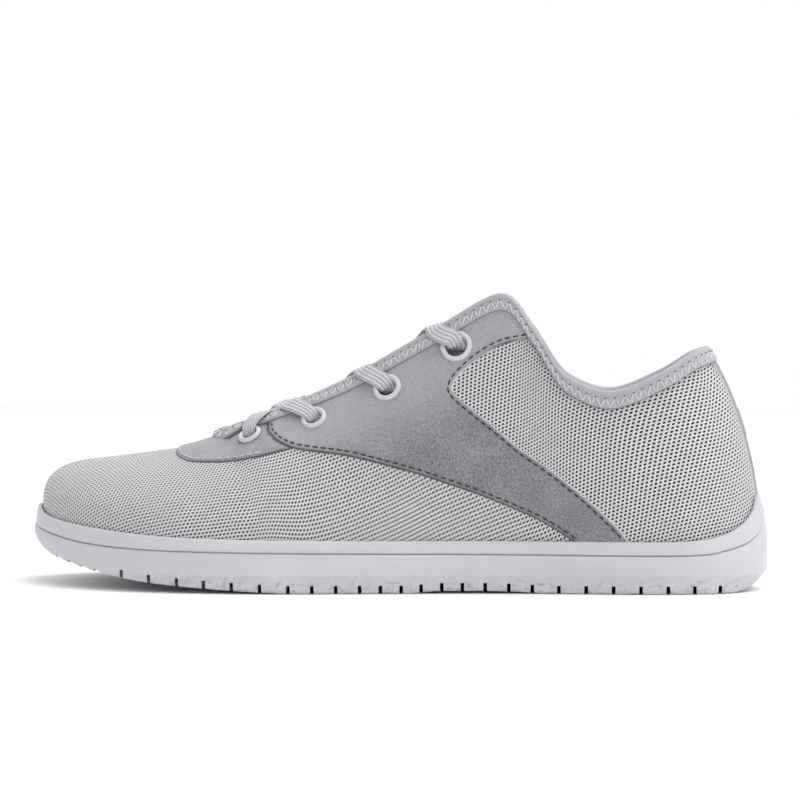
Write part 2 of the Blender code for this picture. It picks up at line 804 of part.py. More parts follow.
def hole_cutter():
    """Cylinders through the wall and its covers, one for each eyelet's barrel."""
    work = bmesh.new()
    for place, distance, _, hole in EYELETS:
        for _, turn in both_sides(place):
            radius = hole + EYELET_WALL + GAP
            bmesh.ops.create_cone(
                work, cap_ends=True, segments=ROUND_STEPS, radius1=radius, radius2=radius,
                depth=4 * (UPPER_WALL + OVERLAY_THICKNESS), matrix=eyelet_frame(turn, distance),
            )
    mesh = bpy.data.meshes.new("eyelet_holes")
    work.to_mesh(mesh)
    work.free()
    return add_cutter("eyelet_holes", mesh)


def build_eyelets():
    """Turned rings: a flange on the suede and a barrel through the wall."""
    seat = GAP + OVERLAY_THICKNESS + FLANGE_GAP
    foot = -0.6 * UPPER_WALL
    for number, (place, distance, radius, hole) in enumerate(EYELETS, 1):
        barrel = hole + EYELET_WALL
        edge = 0.35 * FLANGE_THICKNESS
        profile = (
            (hole + edge, seat + FLANGE_THICKNESS), (radius - edge, seat + FLANGE_THICKNESS),
            (radius, seat + edge), (radius, seat), (barrel, seat), (barrel, foot), (hole, foot),
            (hole, seat + edge),
        )
        mesh = bpy.data.meshes.new(f"eyelet_{number}")
        mesh.from_pydata([(x, 0, z) for x, z in profile], [(k, (k + 1) % 8) for k in range(8)], [])
        for side, turn in both_sides(place):
            eyelet = add_object(f"eyelet_{side}_{number}", mesh, "eyelet")
            eyelet.matrix_world = eyelet_frame(turn, distance)
            spin = eyelet.modifiers.new("turned", "SCREW")
            spin.steps = spin.render_steps = ROUND_STEPS
            spin.use_merge_vertices = True
            spin.merge_threshold = 0.00001
        mesh.materials.clear()
        mesh.materials.append(material("eyelet"))


def lace_run(start, end):
    """Flat tape across the throat, from over one edge to over the other."""
    lift = TAPE_GAP + BINDING_THICKNESS + LACE_GAP + LACE_THICKNESS / 2
    half_share = edge_share(np.array([start, end]), LACE_END * BINDING_WIDTH)
    near, far = (np.array([float(place)]) for place in (start, end))
    stations = []
    for place, share in ((near, half_share[0]), (near, 1.0)):
        stations.append((shell_point(place, share, lift)[0], surface_normal(place, share)[0]))
    for place, share in ((far, 1.0), (far, half_share[1])):
        stations.append((shell_point(place, share, lift)[0], surface_normal(place, share)[0]))
    for k, place in ((1, near), (2, far)):
        point, normal = stations[k]
        stations[k] = (point + (TAPE_GAP + BINDING_THICKNESS) * upward(place, 1.0)[0], normal)
    middle = mix(stations[1][0], stations[2][0], 0.5) + np.array([0, 0, LACE_THICKNESS])
    stations.insert(2, (middle, unit(stations[1][1] + stations[2][1])))
    points = np.array([point for point, _ in stations])
    normals = np.array([normal for _, normal in stations])
    tangents = unit(np.gradient(points, axis=0))
    across = unit(np.cross(tangents, normals))
    normals = np.cross(across, tangents)
    side, height = 0.5 * LACE_WIDTH * across, 0.5 * LACE_THICKNESS * normals
    corners = (points + side + height, points - side + height, points - side - height, points + side - height)
    mesh = tube_mesh("lace_run", np.stack(corners, axis=1))
    face_outward(mesh)
    return mesh


def build_laces():
    """Each row is two runs that cross over the tongue, joined where they cross."""
    for number in range(len(EYELETS) - 1):
        low, high = EYELETS[number][0] + LACE_SHIFT, EYELETS[number + 1][0] - LACE_SHIFT
        row = add_object(f"lace_row_{number + 1}", lace_run(low, AROUND - high), "lace")
        other = add_cutter(f"lace_run_{number + 1}", lace_run(high, AROUND - low))
        boolean(row, other, "UNION")


def main():
    places = all_places()
    shares = wall_shares(places)
    holes = hole_cutter()
    upper = build_upper(places, shares)
    boolean(upper, holes, "DIFFERENCE")
    build_outsole(places)
    build_insole(places)
    build_tongue()
    build_covers(holes)
    build_backstay()
    build_binding()
    build_eyelets()
    build_laces()


for old in list(bpy.data.objects):
    bpy.data.objects.remove(old, do_unlink=True)
SHOE = collection("barefoot_shoe")
CUTTERS = collection("cutters")
main()
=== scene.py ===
"""Looks of a barefoot shoe for the left foot: open knit, microfibre suede, elastic tape, moulded rubber.

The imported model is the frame. Every soft piece is laid over it again, finer, from the shoe's own sections.
The toe points to -X, the heel to +X, the outer side of the foot faces -Y, and +Z is up. Units are metres.
"""

import math

import bmesh
import bpy
import numpy as np
from mathutils import Matrix, Vector


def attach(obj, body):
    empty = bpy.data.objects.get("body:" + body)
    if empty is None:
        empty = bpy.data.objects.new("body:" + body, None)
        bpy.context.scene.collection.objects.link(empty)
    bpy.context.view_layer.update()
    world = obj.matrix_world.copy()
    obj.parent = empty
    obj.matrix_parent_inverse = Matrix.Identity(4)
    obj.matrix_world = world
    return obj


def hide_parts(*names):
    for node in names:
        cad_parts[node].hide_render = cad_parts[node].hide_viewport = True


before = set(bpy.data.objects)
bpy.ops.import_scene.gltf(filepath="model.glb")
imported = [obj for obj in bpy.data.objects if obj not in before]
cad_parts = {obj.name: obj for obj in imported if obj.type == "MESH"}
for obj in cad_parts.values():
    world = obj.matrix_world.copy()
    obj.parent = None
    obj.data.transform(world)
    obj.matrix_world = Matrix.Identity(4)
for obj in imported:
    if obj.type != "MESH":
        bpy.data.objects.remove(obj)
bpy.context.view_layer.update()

MM = 0.001

# Overall sizes, as in the frame
LENGTH = 0.270
BALL_WIDTH = 0.100
HEEL_WIDTH = 0.068
TOE_HEIGHT = 0.0453
INSTEP_HEIGHT = 0.0540
TIP_HEIGHT = 0.1058
COLLAR_HEIGHT = 0.0712
HEEL_HEIGHT = 0.0868
COLLAR_WIDTH = 0.054
FLOOR_THICKNESS = 0.0055
RIM_HEIGHT = 0.0184
GROOVE_HEIGHT = 0.0141
TOE_SPRING = 0.0165
ARCH_RISE = 0.0009
RIM_LIP = 0.0017
SOLE_WALL = 0.0040
GROOVE_DEPTH = 0.0010
EDGE_TUCK = 0.0015
EDGE_HEIGHT = 0.0020
LUG_DEPTH = 0.0030
UPPER_WALL = 0.0020
GAP = 0.0003

# Cloth and trim
SUEDE_HEIGHT = 1.1 * MM
BINDING_WIDTH = 5.6 * MM
BINDING_THICKNESS = 1.1 * MM
ZIGZAG_STEP = 1.7
EYELET_WALL = 0.7 * MM
RING_BAND = 1.9 * MM
FLANGE_THICKNESS = 1.2 * MM
LACE_WIDTH = 6.8 * MM
LACE_THICKNESS = 1.3 * MM


def mix(first, second, share):
    return first + (second - first) * share


def soft_step(share):
    """From 0 to 1, level at both ends."""
    t = np.clip(share, 0, 1)
    return t**2 * (3 - 2 * t)


# Sections of the upper, toe tip to heel, with the frame's shares; the heel's base is a little further back
SECTION_COLUMNS = (
    "foot", "lateral", "medial", "top", "middle", "half_gap", "height",
    "flare", "rise", "reach", "drop", "sole",
)
SECTIONS = (
    (
        -0.485, -0.120, 0.120, -0.415, 0.100, 0.000, TOE_HEIGHT,
        0.035, 0.63, 0.19, 0.00, 0.72,
    ),
    (
        -0.473, 0.030, 0.260, -0.409, 0.099, 0.000, 1.004 * TOE_HEIGHT,
        0.045, 0.63, 0.20, 0.00, 0.76,
    ),
    (
        -0.437, 0.185, 0.356, -0.393, 0.095, 0.000, 1.016 * TOE_HEIGHT,
        0.060, 0.62, 0.22, 0.00, 0.86,
    ),
    (
        -0.381, 0.318, 0.414, -0.367, 0.085, 0.000, 1.036 * TOE_HEIGHT,
        0.075, 0.62, 0.25, 0.00, 0.95,
    ),
    (
        -0.311, 0.404, 0.433, -0.330, 0.070, 0.000, 1.066 * TOE_HEIGHT,
        0.080, 0.61, 0.27, 0.00, 1.00,
    ),
    (
        -0.244, 0.438, 0.441, -0.287, 0.052, 0.000, mix(TOE_HEIGHT, INSTEP_HEIGHT, 0.56),
        0.085, 0.60, 0.265, 0.01, 1.00,
    ),
    (
        -0.185, 0.443, 0.437, -0.241, 0.035, 0.000, INSTEP_HEIGHT,
        0.085, 0.58, 0.24, 0.03, 1.00,
    ),
    (
        -0.156, 0.441, 0.432, -0.219, 0.029, 0.125, mix(INSTEP_HEIGHT, TIP_HEIGHT, 0.040),
        0.082, 0.565, 0.186, 0.05, 1.00,
    ),
    (
        -0.111, 0.443, 0.428, -0.187, 0.022, 0.204, mix(INSTEP_HEIGHT, TIP_HEIGHT, 0.106),
        0.078, 0.545, 0.160, 0.08, 1.00,
    ),
    (
        -0.015, 0.472, 0.442, -0.074, 0.008, 0.250, mix(INSTEP_HEIGHT, TIP_HEIGHT, 0.365),
        0.062, 0.48, 0.13, 0.16, 1.00,
    ),
    (
        0.096, 0.479, 0.453, 0.052, 0.000, 0.287, mix(INSTEP_HEIGHT, TIP_HEIGHT, 0.741),
        0.050, 0.44, 0.10, 0.20, 1.00,
    ),
    (
        0.170, 0.453, 0.431, 0.144, 0.000, 0.324, TIP_HEIGHT,
        0.045, 0.42, 0.075, 0.24, 1.00,
    ),
    (
        0.211, 0.444, 0.426, 0.185, 0.000, 0.389, mix(COLLAR_HEIGHT, TIP_HEIGHT, 0.667),
        0.042, 0.42, 0.060, 0.26, 1.00,
    ),
    (
        0.263, 0.435, 0.426, 0.233, 0.000, 0.472, mix(COLLAR_HEIGHT, TIP_HEIGHT, 0.153),
        0.045, 0.43, 0.040, 0.30, 1.00,
    ),
    (
        0.326, 0.426, 0.424, 0.289, 0.000, 0.500, COLLAR_HEIGHT,
        0.055, 0.43, 0.030, 0.32, 1.00,
    ),
    (
        0.396, 0.382, 0.382, 0.357, 0.000, 0.417, mix(COLLAR_HEIGHT, HEEL_HEIGHT, 0.430),
        0.055, 0.40, 0.050, 0.24, 1.05,
    ),
    (
        0.4535, 0.253, 0.253, 0.402, 0.000, 0.222, mix(COLLAR_HEIGHT, HEEL_HEIGHT, 0.910),
        0.050, 0.37, 0.080, 0.16, 1.10,
    ),
    (
        0.4860, 0.000, 0.000, 0.417, 0.000, 0.000, HEEL_HEIGHT,
        0.048, 0.357, 0.094, 0.134, 1.12,
    ),
)
LAST = len(SECTIONS) - 1
AROUND = 2 * LAST
THROAT_START = 6
TIP_ROW = 11
RIDGE_FADE = 2

# The throat's front is a round bow: where it opens and where it reaches its full width, in sections
BOW_FRONT = 6.35
BOW_BACK = 7.6

# Lines of the sole: share of LENGTH, share of the named height. At the heel they rise above the frame's
RIM_LINE = (
    (-0.489, 1.57), (-0.481, 1.46), (-0.455, 1.32), (-0.390, 1.19), (-0.330, 1.10), (-0.275, 1.05),
    (-0.140, 1.01), (0.000, 1.00), (0.370, 1.00), (0.410, 1.03), (0.436, 1.11), (0.463, 1.32),
    (0.478, 1.57), (0.486, 1.86),
)
GROOVE_LINE = (
    (-0.489, 1.63), (-0.481, 1.50), (-0.455, 1.36), (-0.390, 1.16), (-0.330, 1.08), (-0.275, 1.05),
    (-0.140, 1.02), (0.000, 1.00), (0.370, 0.97), (0.410, 0.99), (0.436, 1.08), (0.463, 1.26),
    (0.478, 1.50), (0.486, 1.88),
)
TOE_LINE = (
    (-0.500, 1.00), (-0.484, 0.85), (-0.457, 0.65), (-0.422, 0.50), (-0.390, 0.39), (-0.358, 0.30),
    (-0.328, 0.225), (-0.272, 0.14), (-0.193, 0.055), (-0.120, 0.00),
)
ARCH_LINE = ((0.020, 0.00), (0.070, 1.00), (0.120, 1.00), (0.170, 0.70), (0.210, 0.00))
HEEL_LINE = ((0.450, 0.00), (0.470, 0.06), (0.485, 0.18), (0.495, 0.31), (0.500, 0.38))

# Slits between the lugs, from toe to heel, as shares of LENGTH
TOE_SLITS = (-0.452, -0.432, -0.413, -0.393)
LUG_SLITS = (
    -0.353, -0.315, -0.277, -0.241, -0.204, -0.167, -0.130, -0.099, -0.068, -0.037, -0.010, 0.017,
    0.043, 0.070, 0.097, 0.127, 0.158, 0.189, 0.224, 0.260, 0.296, 0.332, 0.368, 0.403, 0.437,
)

# Outlines of the overlays seen from the side: share of LENGTH, share of TIP_HEIGHT
SADDLE_FRONT = ((-0.303, 0.600), (-0.300, 0.474), (-0.294, 0.447), (-0.285, 0.436), (-0.270, 0.428))
SADDLE_LOW = ((-0.240, 0.428), (-0.211, 0.433), (-0.175, 0.451), (-0.149, 0.469))
QUARTER_FRONT = ((-0.172, 0.700), (-0.168, 0.550), (-0.161, 0.518), (-0.149, 0.497), (-0.129, 0.479))
QUARTER_LOW = (
    (-0.104, 0.470), (-0.050, 0.453), (0.027, 0.405), (0.053, 0.385), (0.100, 0.346), (0.134, 0.314),
    (0.167, 0.279), (0.201, 0.240), (0.241, 0.176), (0.262, 0.120),
)
QUARTER_REAR = (
    (0.330, 0.120), (0.316, 0.177), (0.301, 0.224), (0.276, 0.285), (0.251, 0.340), (0.210, 0.421),
    (0.173, 0.484), (0.141, 0.552), (0.107, 0.619), (0.084, 0.670), (0.082, 0.700), (0.091, 0.735),
    (0.114, 0.789), (0.143, 0.833), (0.174, 0.853), (0.200, 0.860),
)
QUARTER_TOP = ((0.200, 1.100), (-0.172, 1.100))

# Eyelets from the front pair up: place in sections, distance from the edge, radius
EYELETS = (
    (7.66, 0.0106, 0.0045),
    (8.68, 0.0114, 0.0048),
    (9.46, 0.0118, 0.0053),
    (10.28, 0.0106, 0.0059),
)


def smooth_curve(places, values, at):
    """Cubic through the values that never overshoots them, held level beyond both ends."""
    places = np.asarray(places, float)
    values = np.asarray(values, float)
    step = np.diff(places)
    climb = np.diff(values) / step
    before, after = climb[:-1], climb[1:]
    same_way = before * after > 0
    slope = np.zeros(len(places))
    inner = slope[1:-1]
    inner[same_way] = 2 * before[same_way] * after[same_way] / (before + after)[same_way]
    at = np.clip(at, places[0], places[-1])
    low = np.clip(np.searchsorted(places, at, side="right") - 1, 0, len(step) - 1)
    t = (at - places[low]) / step[low]
    start, end = values[low], values[low + 1]
    lean_in, lean_out = slope[low] * step[low], slope[low + 1] * step[low]
    rise = end - start
    square = 3 * rise - 2 * lean_in - lean_out
    cube = lean_in + lean_out - 2 * rise
    return start + t * (lean_in + t * (square + t * cube))


def line_height(line, named_height, x):
    along, share = zip(*line)
    return named_height * smooth_curve(along, share, np.asarray(x) / LENGTH)


def bottom_height(x):
    """Underside of the sole: toe spring, arch and rounded heel around two level spots."""
    toe = line_height(TOE_LINE, TOE_SPRING, x)
    arch = line_height(ARCH_LINE, ARCH_RISE, x)
    heel = line_height(HEEL_LINE, TOE_SPRING, x)
    return toe + arch + heel


def floor_height(x):
    return bottom_height(x) + FLOOR_THICKNESS


def rim_height(x):
    return line_height(RIM_LINE, RIM_HEIGHT, x)


def groove_height(x):
    return line_height(GROOVE_LINE, GROOVE_HEIGHT, x)


def sole_width(along):
    """Width that the foot's shares refer to: the ball's in front, the heel's behind."""
    return mix(HEEL_WIDTH, BALL_WIDTH, soft_step((0.10 - along) / 0.28))


def around(column):
    """One column of the sections as a loop: outer side toe to heel, then inner side back."""
    rows = np.array([row[SECTION_COLUMNS.index(column)] for row in SECTIONS])
    return np.concatenate((rows, rows[-2:0:-1]))


def foot_out_loop():
    width = sole_width(around("foot"))
    lateral = -around("lateral")[: LAST + 1]
    medial = around("medial")[LAST + 1:]
    return np.concatenate((lateral, medial)) * width


def half_gap_loop():
    gap = around("half_gap") * COLLAR_WIDTH
    gap[: LAST + 1] *= -1
    return gap


LOOPS = {
    "foot_x": around("foot") * LENGTH,
    "foot_y": foot_out_loop(),
    "top_x": around("top") * LENGTH,
    "middle": around("middle") * BALL_WIDTH,
    "gap": half_gap_loop(),
    "top_z": around("height"),
    "flare": around("flare") * BALL_WIDTH,
    "rise": around("rise"),
    "reach": around("reach") * BALL_WIDTH,
    "drop": around("drop"),
    "sole": around("sole") * SOLE_WALL,
}


def loop_value(name, place):
    """A section value at any place round the shoe, counted in sections from the toe tip."""
    values = LOOPS[name]
    wrapped = np.concatenate((values[-2:], values, values[:3]))
    return smooth_curve(np.arange(-2, AROUND + 3), wrapped, np.mod(place, AROUND))


def outward(place):
    """Plan direction square to the foot line."""
    step = 0.02
    dx = loop_value("foot_x", place + step) - loop_value("foot_x", place - step)
    dy = loop_value("foot_y", place + step) - loop_value("foot_y", place - step)
    size = np.hypot(dx, dy)
    return dy / size, -dx / size


def from_toe(place):
    """Place counted from the toe tip on either side, so both sides share it."""
    place = np.mod(place, AROUND)
    return np.minimum(place, AROUND - place)


def ridge_run(place):
    """Direction of the ridge, toward the heel, at a place in front of the throat."""
    near = from_toe(place)
    return [loop_value(name, near + 0.05) - loop_value(name, near) for name in ("top_x", "middle", "top_z")]


def front_gaps(place):
    """Half the throat's opening near its front: as the wall closes smoothly, and as it is cut, rounded."""
    near = from_toe(place)
    plain = loop_value("gap", place)
    whole = np.where(np.mod(place, AROUND) <= LAST, 1, -1) * loop_value("gap", BOW_BACK)
    t = np.clip((near - BOW_FRONT) / (BOW_BACK - BOW_FRONT), 0, 1)
    front = near < BOW_BACK
    closing = np.where(front, whole * soft_step(t), plain)
    return closing, np.where(front, whole * np.sqrt(1 - (1 - t) ** 2), plain)


def wall(place, share):
    """Point on the outside of the uncut upper: share 0 at the sole's floor, 1 at the ridge or top edge."""
    place, share = np.broadcast_arrays(np.asarray(place, float), np.asarray(share, float))
    foot_x, foot_y = loop_value("foot_x", place), loop_value("foot_y", place)
    foot_z = floor_height(foot_x) + GAP
    top_x = loop_value("top_x", place)
    even_y = loop_value("middle", place) + loop_value("gap", place)
    top_y = loop_value("middle", place) + front_gaps(place)[0]
    top_z = loop_value("top_z", place)
    out_x, out_y = outward(place)
    flare, reach = loop_value("flare", place), loop_value("reach", place)
    tall = top_z - foot_z
    run_x, _, run_z = ridge_run(place)
    on_ridge = soft_step((THROAT_START + RIDGE_FADE - from_toe(place)) / RIDGE_FADE)
    ridge_slope = on_ridge * run_z / np.where(run_x > 1e-9, run_x, 1)
    low = (foot_x + flare * out_x, foot_y + flare * out_y, foot_z + loop_value("rise", place) * tall)
    high_z = top_z - loop_value("drop", place) * tall + reach * out_x * ridge_slope
    high = (top_x + reach * out_x, even_y + reach * out_y, high_z)
    ends = ((foot_x, foot_y, foot_z), low, high, (top_x, top_y, top_z))
    rest = 1 - share
    weights = (rest**3, 3 * rest**2 * share, 3 * rest * share**2, share**3)
    return np.stack([sum(w * end[k] for w, end in zip(weights, ends)) for k in range(3)], axis=-1)


def cut_table():
    """Share of the wall that is kept round the rounded front, on each side, at places close together."""
    turn = np.linspace(0, np.pi / 2, 80)
    near = BOW_FRONT + (BOW_BACK - BOW_FRONT) * (1 - np.cos(turn))
    kept = []
    for places in (near, AROUND - near):
        low, high = np.full(len(near), 0.3), np.ones(len(near))
        for _ in range(24):
            middle = (low + high) / 2
            aside = np.abs(wall(places, middle)[:, 1] - loop_value("middle", places))
            outside = aside > np.abs(front_gaps(places)[1])
            low, high = np.where(outside, middle, low), np.where(outside, high, middle)
        kept.append(low)
    return near, kept


CUT_PLACES, CUT_SHARES = cut_table()


def kept_share(place, share):
    """Share of the whole wall for a share of the wall up to the throat's rounded front."""
    near = from_toe(place)
    lateral, medial = (np.interp(near, CUT_PLACES, shares, left=1.0, right=1.0) for shares in CUT_SHARES)
    return share * np.where(np.mod(place, AROUND) <= LAST, lateral, medial)


def surface(place, share):
    """Point on the outside of the upper: share 0 at the sole's floor, 1 at the top edge."""
    return wall(place, kept_share(place, share))


def unit(vectors):
    return vectors / np.linalg.norm(vectors, axis=-1, keepdims=True)


def upward(place, share):
    """Direction up the wall."""
    step = 0.01
    high, low = np.minimum(share + step, 1), np.maximum(share - step, 0)
    return unit(wall(place, high) - wall(place, low))


def surface_normal(place, share):
    place, share = np.broadcast_arrays(np.asarray(place, float), np.asarray(share, float))
    share = kept_share(place, share)
    step = 0.02
    across = wall(place + step, share) - wall(place - step, share)
    normal = np.cross(across, upward(place, share))
    ridge = np.stack(ridge_run(place), axis=-1)
    ridge = ridge / np.maximum(np.linalg.norm(ridge, axis=-1, keepdims=True), 1e-12)
    ridge_normal = np.array([0, 0, 1.0]) - ridge * ridge[..., 2:3]
    at_ridge = (share > 0.9999) & (from_toe(place) < BOW_FRONT + 1e-6)
    return unit(np.where(at_ridge[..., None], ridge_normal, normal))


def shell_point(place, share, offset):
    """Point at a distance outside (or, negative, inside) the upper's outer face."""
    return surface(place, share) + offset * surface_normal(place, share)


def find_share(is_below, place):
    """Share where a condition that holds low on the wall stops holding."""
    low, high = np.zeros_like(place), np.ones_like(place)
    for _ in range(30):
        middle = (low + high) / 2
        below = is_below(middle)
        low, high = np.where(below, middle, low), np.where(below, high, middle)
    return low


def rim_share(place, above=0.0):
    height = rim_height(loop_value("foot_x", place)) + above
    return find_share(lambda share: surface(place, share)[..., 2] < height, place)


def edge_share(place, distance):
    """Share at a distance down the wall from the top edge."""
    top = surface(place, 1.0)
    return find_share(
        lambda share: np.linalg.norm(surface(place, share) - top, axis=-1) > distance, place
    )


# Helpers for meshes

SOLE_PLACES_STEP = 1.6 * MM
KNIT_STEP = 1.5 * MM
KNIT_ROWS = 56
SUEDE_CELL = 0.75 * MM


def side_places(step):
    """Places along one side about one step apart, every section among them."""
    runs = []
    for section in range(LAST):
        line = surface(np.linspace(section, section + 1, 9), 0.35)
        count = max(2, int(np.ceil(np.linalg.norm(np.diff(line, axis=0), axis=1).sum() / step)))
        runs.append(section + np.arange(count) / count)
    bow = BOW_FRONT + (BOW_BACK - BOW_FRONT) * (1 - np.cos(np.linspace(0, np.pi / 2, 9)))
    whole = np.concatenate(runs + [[LAST]])
    whole = whole[(whole < BOW_FRONT - 0.02) | (whole > BOW_BACK + 0.02)]
    return np.sort(np.concatenate((whole, bow)))


def all_places(step):
    side = side_places(step)
    return np.concatenate((side, AROUND - side[-2:0:-1]))


def grid_faces(rows, columns, loop_rows=False, loop_columns=False):
    """Quads of a grid whose points are counted row by row."""
    i = np.arange(rows if loop_rows else rows - 1)[:, None]
    j = np.arange(columns if loop_columns else columns - 1)[None, :]
    i_next, j_next = (i + 1) % rows, (j + 1) % columns
    corners = (i * columns + j, i_next * columns + j, i_next * columns + j_next, i * columns + j_next)
    return np.stack(np.broadcast_arrays(*corners), axis=-1).reshape(-1, 4)


def piece_from(name, points, faces, finishes, chosen=None, maps=None, weld=0.0):
    """Object at the origin from points and faces; maps holds UV values for each point, by name."""
    mesh = bpy.data.meshes.new(name)
    mesh.from_pydata([tuple(p) for p in np.asarray(points, float)], [], [list(map(int, f)) for f in faces])
    for finish in finishes:
        mesh.materials.append(finish)
    if chosen is not None:
        mesh.polygons.foreach_set("material_index", np.asarray(chosen, np.int32))
    corner_points = np.empty(len(mesh.loops), np.int32)
    mesh.loops.foreach_get("vertex_index", corner_points)
    for map_name, values in (maps or {}).items():
        layer = mesh.uv_layers.new(name=map_name)
        layer.data.foreach_set("uv", np.asarray(values, np.float32)[corner_points].ravel())
    if weld:
        work = bmesh.new()
        work.from_mesh(mesh)
        bmesh.ops.remove_doubles(work, verts=work.verts, dist=weld)
        bmesh.ops.dissolve_degenerate(work, edges=work.edges, dist=weld)
        work.to_mesh(mesh)
        work.free()
    mesh.validate()
    mesh.shade_smooth()
    made = bpy.data.objects.new(name, mesh)
    bpy.context.scene.collection.objects.link(made)
    return made


def face_outward(mesh):
    work = bmesh.new()
    work.from_mesh(mesh)
    bmesh.ops.recalc_face_normals(work, faces=work.faces)
    work.to_mesh(mesh)
    work.free()


def settle(piece):
    """Turn the piece's modifiers into its mesh."""
    evaluated = piece.evaluated_get(bpy.context.evaluated_depsgraph_get())
    mesh = bpy.data.meshes.new_from_object(evaluated)
    piece.modifiers.clear()
    old = piece.data
    piece.data = mesh
    bpy.data.meshes.remove(old)
    return piece


def cut_out(piece, cutter):
    """Cut the cutter's shape out of the piece and throw the cutter away."""
    cut = piece.modifiers.new("cut", "BOOLEAN")
    cut.operation = "DIFFERENCE"
    cut.solver = "EXACT"
    cut.object = cutter
    settle(piece)
    bpy.data.objects.remove(cutter, do_unlink=True)
    return piece


def thicken(piece, thickness, rounding=0.0):
    """A sheet made solid on its inner side, its edge rounded where a rounding is given."""
    solid = piece.modifiers.new("thickness", "SOLIDIFY")
    solid.thickness = thickness
    solid.offset = -1
    if rounding:
        edge = piece.modifiers.new("rounded", "BEVEL")
        edge.width = rounding
        edge.segments = 3
        edge.limit_method = "ANGLE"
        edge.angle_limit = math.radians(50)
    return settle(piece)


def cubic(start, end, lean_in, lean_out, t):
    """Curve from start to end that sets out and arrives with these leans."""
    return (
        (2 * t**3 - 3 * t**2 + 1) * start + (t**3 - 2 * t**2 + t) * lean_in
        + (-2 * t**3 + 3 * t**2) * end + (t**3 - t**2) * lean_out
    )


def lengths_along(line):
    """Length along a line at each of its points."""
    return np.concatenate(([0], np.cumsum(np.linalg.norm(np.diff(line, axis=0), axis=1))))


def points_at(at, along, line):
    """Points of a line at lengths along it."""
    return np.stack([np.interp(at, along, line[:, k]) for k in range(line.shape[1])], axis=-1)


def tape_lay(along, across):
    """UV values of a tape's grid: length along it and across it."""
    return np.stack(np.broadcast_arrays(along[:, None], across[None, :]), axis=-1).reshape(-1, 2)


def sharpen(piece, degrees):
    piece.data.set_sharp_from_angle(angle=math.radians(degrees))


# Materials


def colour(code):
    """sRGB hex to linear."""
    parts = [int(code[k:k + 2], 16) / 255 for k in (0, 2, 4)]
    return tuple(p / 12.92 if p <= 0.04045 else ((p + 0.055) / 1.055) ** 2.4 for p in parts) + (1.0,)


def lent(node):
    """The output that a node lends when it is given as an input: its first one in use."""
    return next(output for output in node.outputs if output.enabled)


def add(tree, kind, inputs=None, **settings):
    """A node with its settings and links; a kind without "Node" in its name is a shader node's."""
    made = tree.nodes.new(kind if "Node" in kind else "ShaderNode" + kind)
    for key, value in settings.items():
        setattr(made, key, value)
    for key, value in (inputs or {}).items():
        if isinstance(value, bpy.types.Node):
            value = lent(value)
        if isinstance(value, bpy.types.NodeSocket):
            tree.links.new(value, made.inputs[key])
        else:
            made.inputs[key].default_value = value
    return made


def new_finish(name, roughness, **constants):
    """A new material and its tree; constants go on the shader's own sockets."""
    made = bpy.data.materials.new(name)
    made.use_nodes = True
    sockets = made.node_tree.nodes["Principled BSDF"].inputs
    for key, value in {"Roughness": roughness, **constants}.items():
        sockets[key.replace("_", " ")].default_value = value
    return made, made.node_tree


def dressed(made, paint, bump=None):
    """The material with its colour and bump; bump holds the inputs of the Bump node."""
    tree = made.node_tree
    shader = tree.nodes["Principled BSDF"]
    tree.links.new(lent(paint), shader.inputs["Base Color"])
    if bump:
        tree.links.new(lent(add(tree, "Bump", bump)), shader.inputs["Normal"])
    return made


def object_mm(tree):
    place = add(tree, "TexCoord").outputs["Object"]
    return add(tree, "VectorMath", {0: place, 1: (1000, 1000, 1000)}, operation="MULTIPLY")


def map_values(tree, name):
    """The two values of a UV map, apart."""
    return add(tree, "SeparateXYZ", {0: add(tree, "UVMap", uv_map=name)}).outputs


# Knit: holes in rows half a stitch apart. Real thread is about 0.3 mm; the holes' pitch is as measured.
KNIT_PITCH = 1.62
KNIT_ROW = 1.28
HOLE_HALF_WIDTH = 0.265
HOLE_HALF_HEIGHT = 0.27
HOLE_SLANT = -0.4


def knit_cells(tree, along, up):
    """Distance from the middle of the nearest hole, and place along the slanted threads, 0 to 1."""
    u = add(tree, "Math", {0: along, 1: KNIT_PITCH}, operation="DIVIDE")
    v = add(tree, "Math", {0: up, 1: KNIT_ROW}, operation="DIVIDE")
    row = add(tree, "Math", {0: v}, operation="FLOOR")
    half = add(tree, "Math", {0: row, 1: 0.5}, operation="MULTIPLY")
    shift = add(tree, "Math", {0: half}, operation="FRACT")
    shifted = add(tree, "Math", {0: u, 1: shift}, operation="ADD")
    u_cell = add(tree, "Math", {0: shifted}, operation="FRACT")
    v_cell = add(tree, "Math", {0: v}, operation="FRACT")
    u_mid = add(tree, "Math", {0: u_cell, 1: 0.5}, operation="SUBTRACT")
    v_mid = add(tree, "Math", {0: v_cell, 1: 0.5}, operation="SUBTRACT")
    slant = add(tree, "Math", {0: v_mid, 1: HOLE_SLANT, 2: u_mid}, operation="MULTIPLY_ADD")
    wide = add(tree, "Math", {0: slant, 1: HOLE_HALF_WIDTH}, operation="DIVIDE")
    tall = add(tree, "Math", {0: v_mid, 1: HOLE_HALF_HEIGHT}, operation="DIVIDE")
    oval = add(tree, "CombineXYZ", {0: wide, 1: tall, 2: 0.0})
    away = add(tree, "VectorMath", {0: oval}, operation="LENGTH")
    # Each stitch shows two strands side by side, leaning the other way from the hole
    strand = add(tree, "Math", {0: v_mid, 1: 0.9, 2: u_cell}, operation="MULTIPLY_ADD")
    turn = add(tree, "Math", {0: strand, 1: 4 * math.pi}, operation="MULTIPLY")
    wave = add(tree, "Math", {0: turn}, operation="COSINE")
    return away, add(tree, "MapRange", {0: wave, 1: -1.0, 2: 1.0})


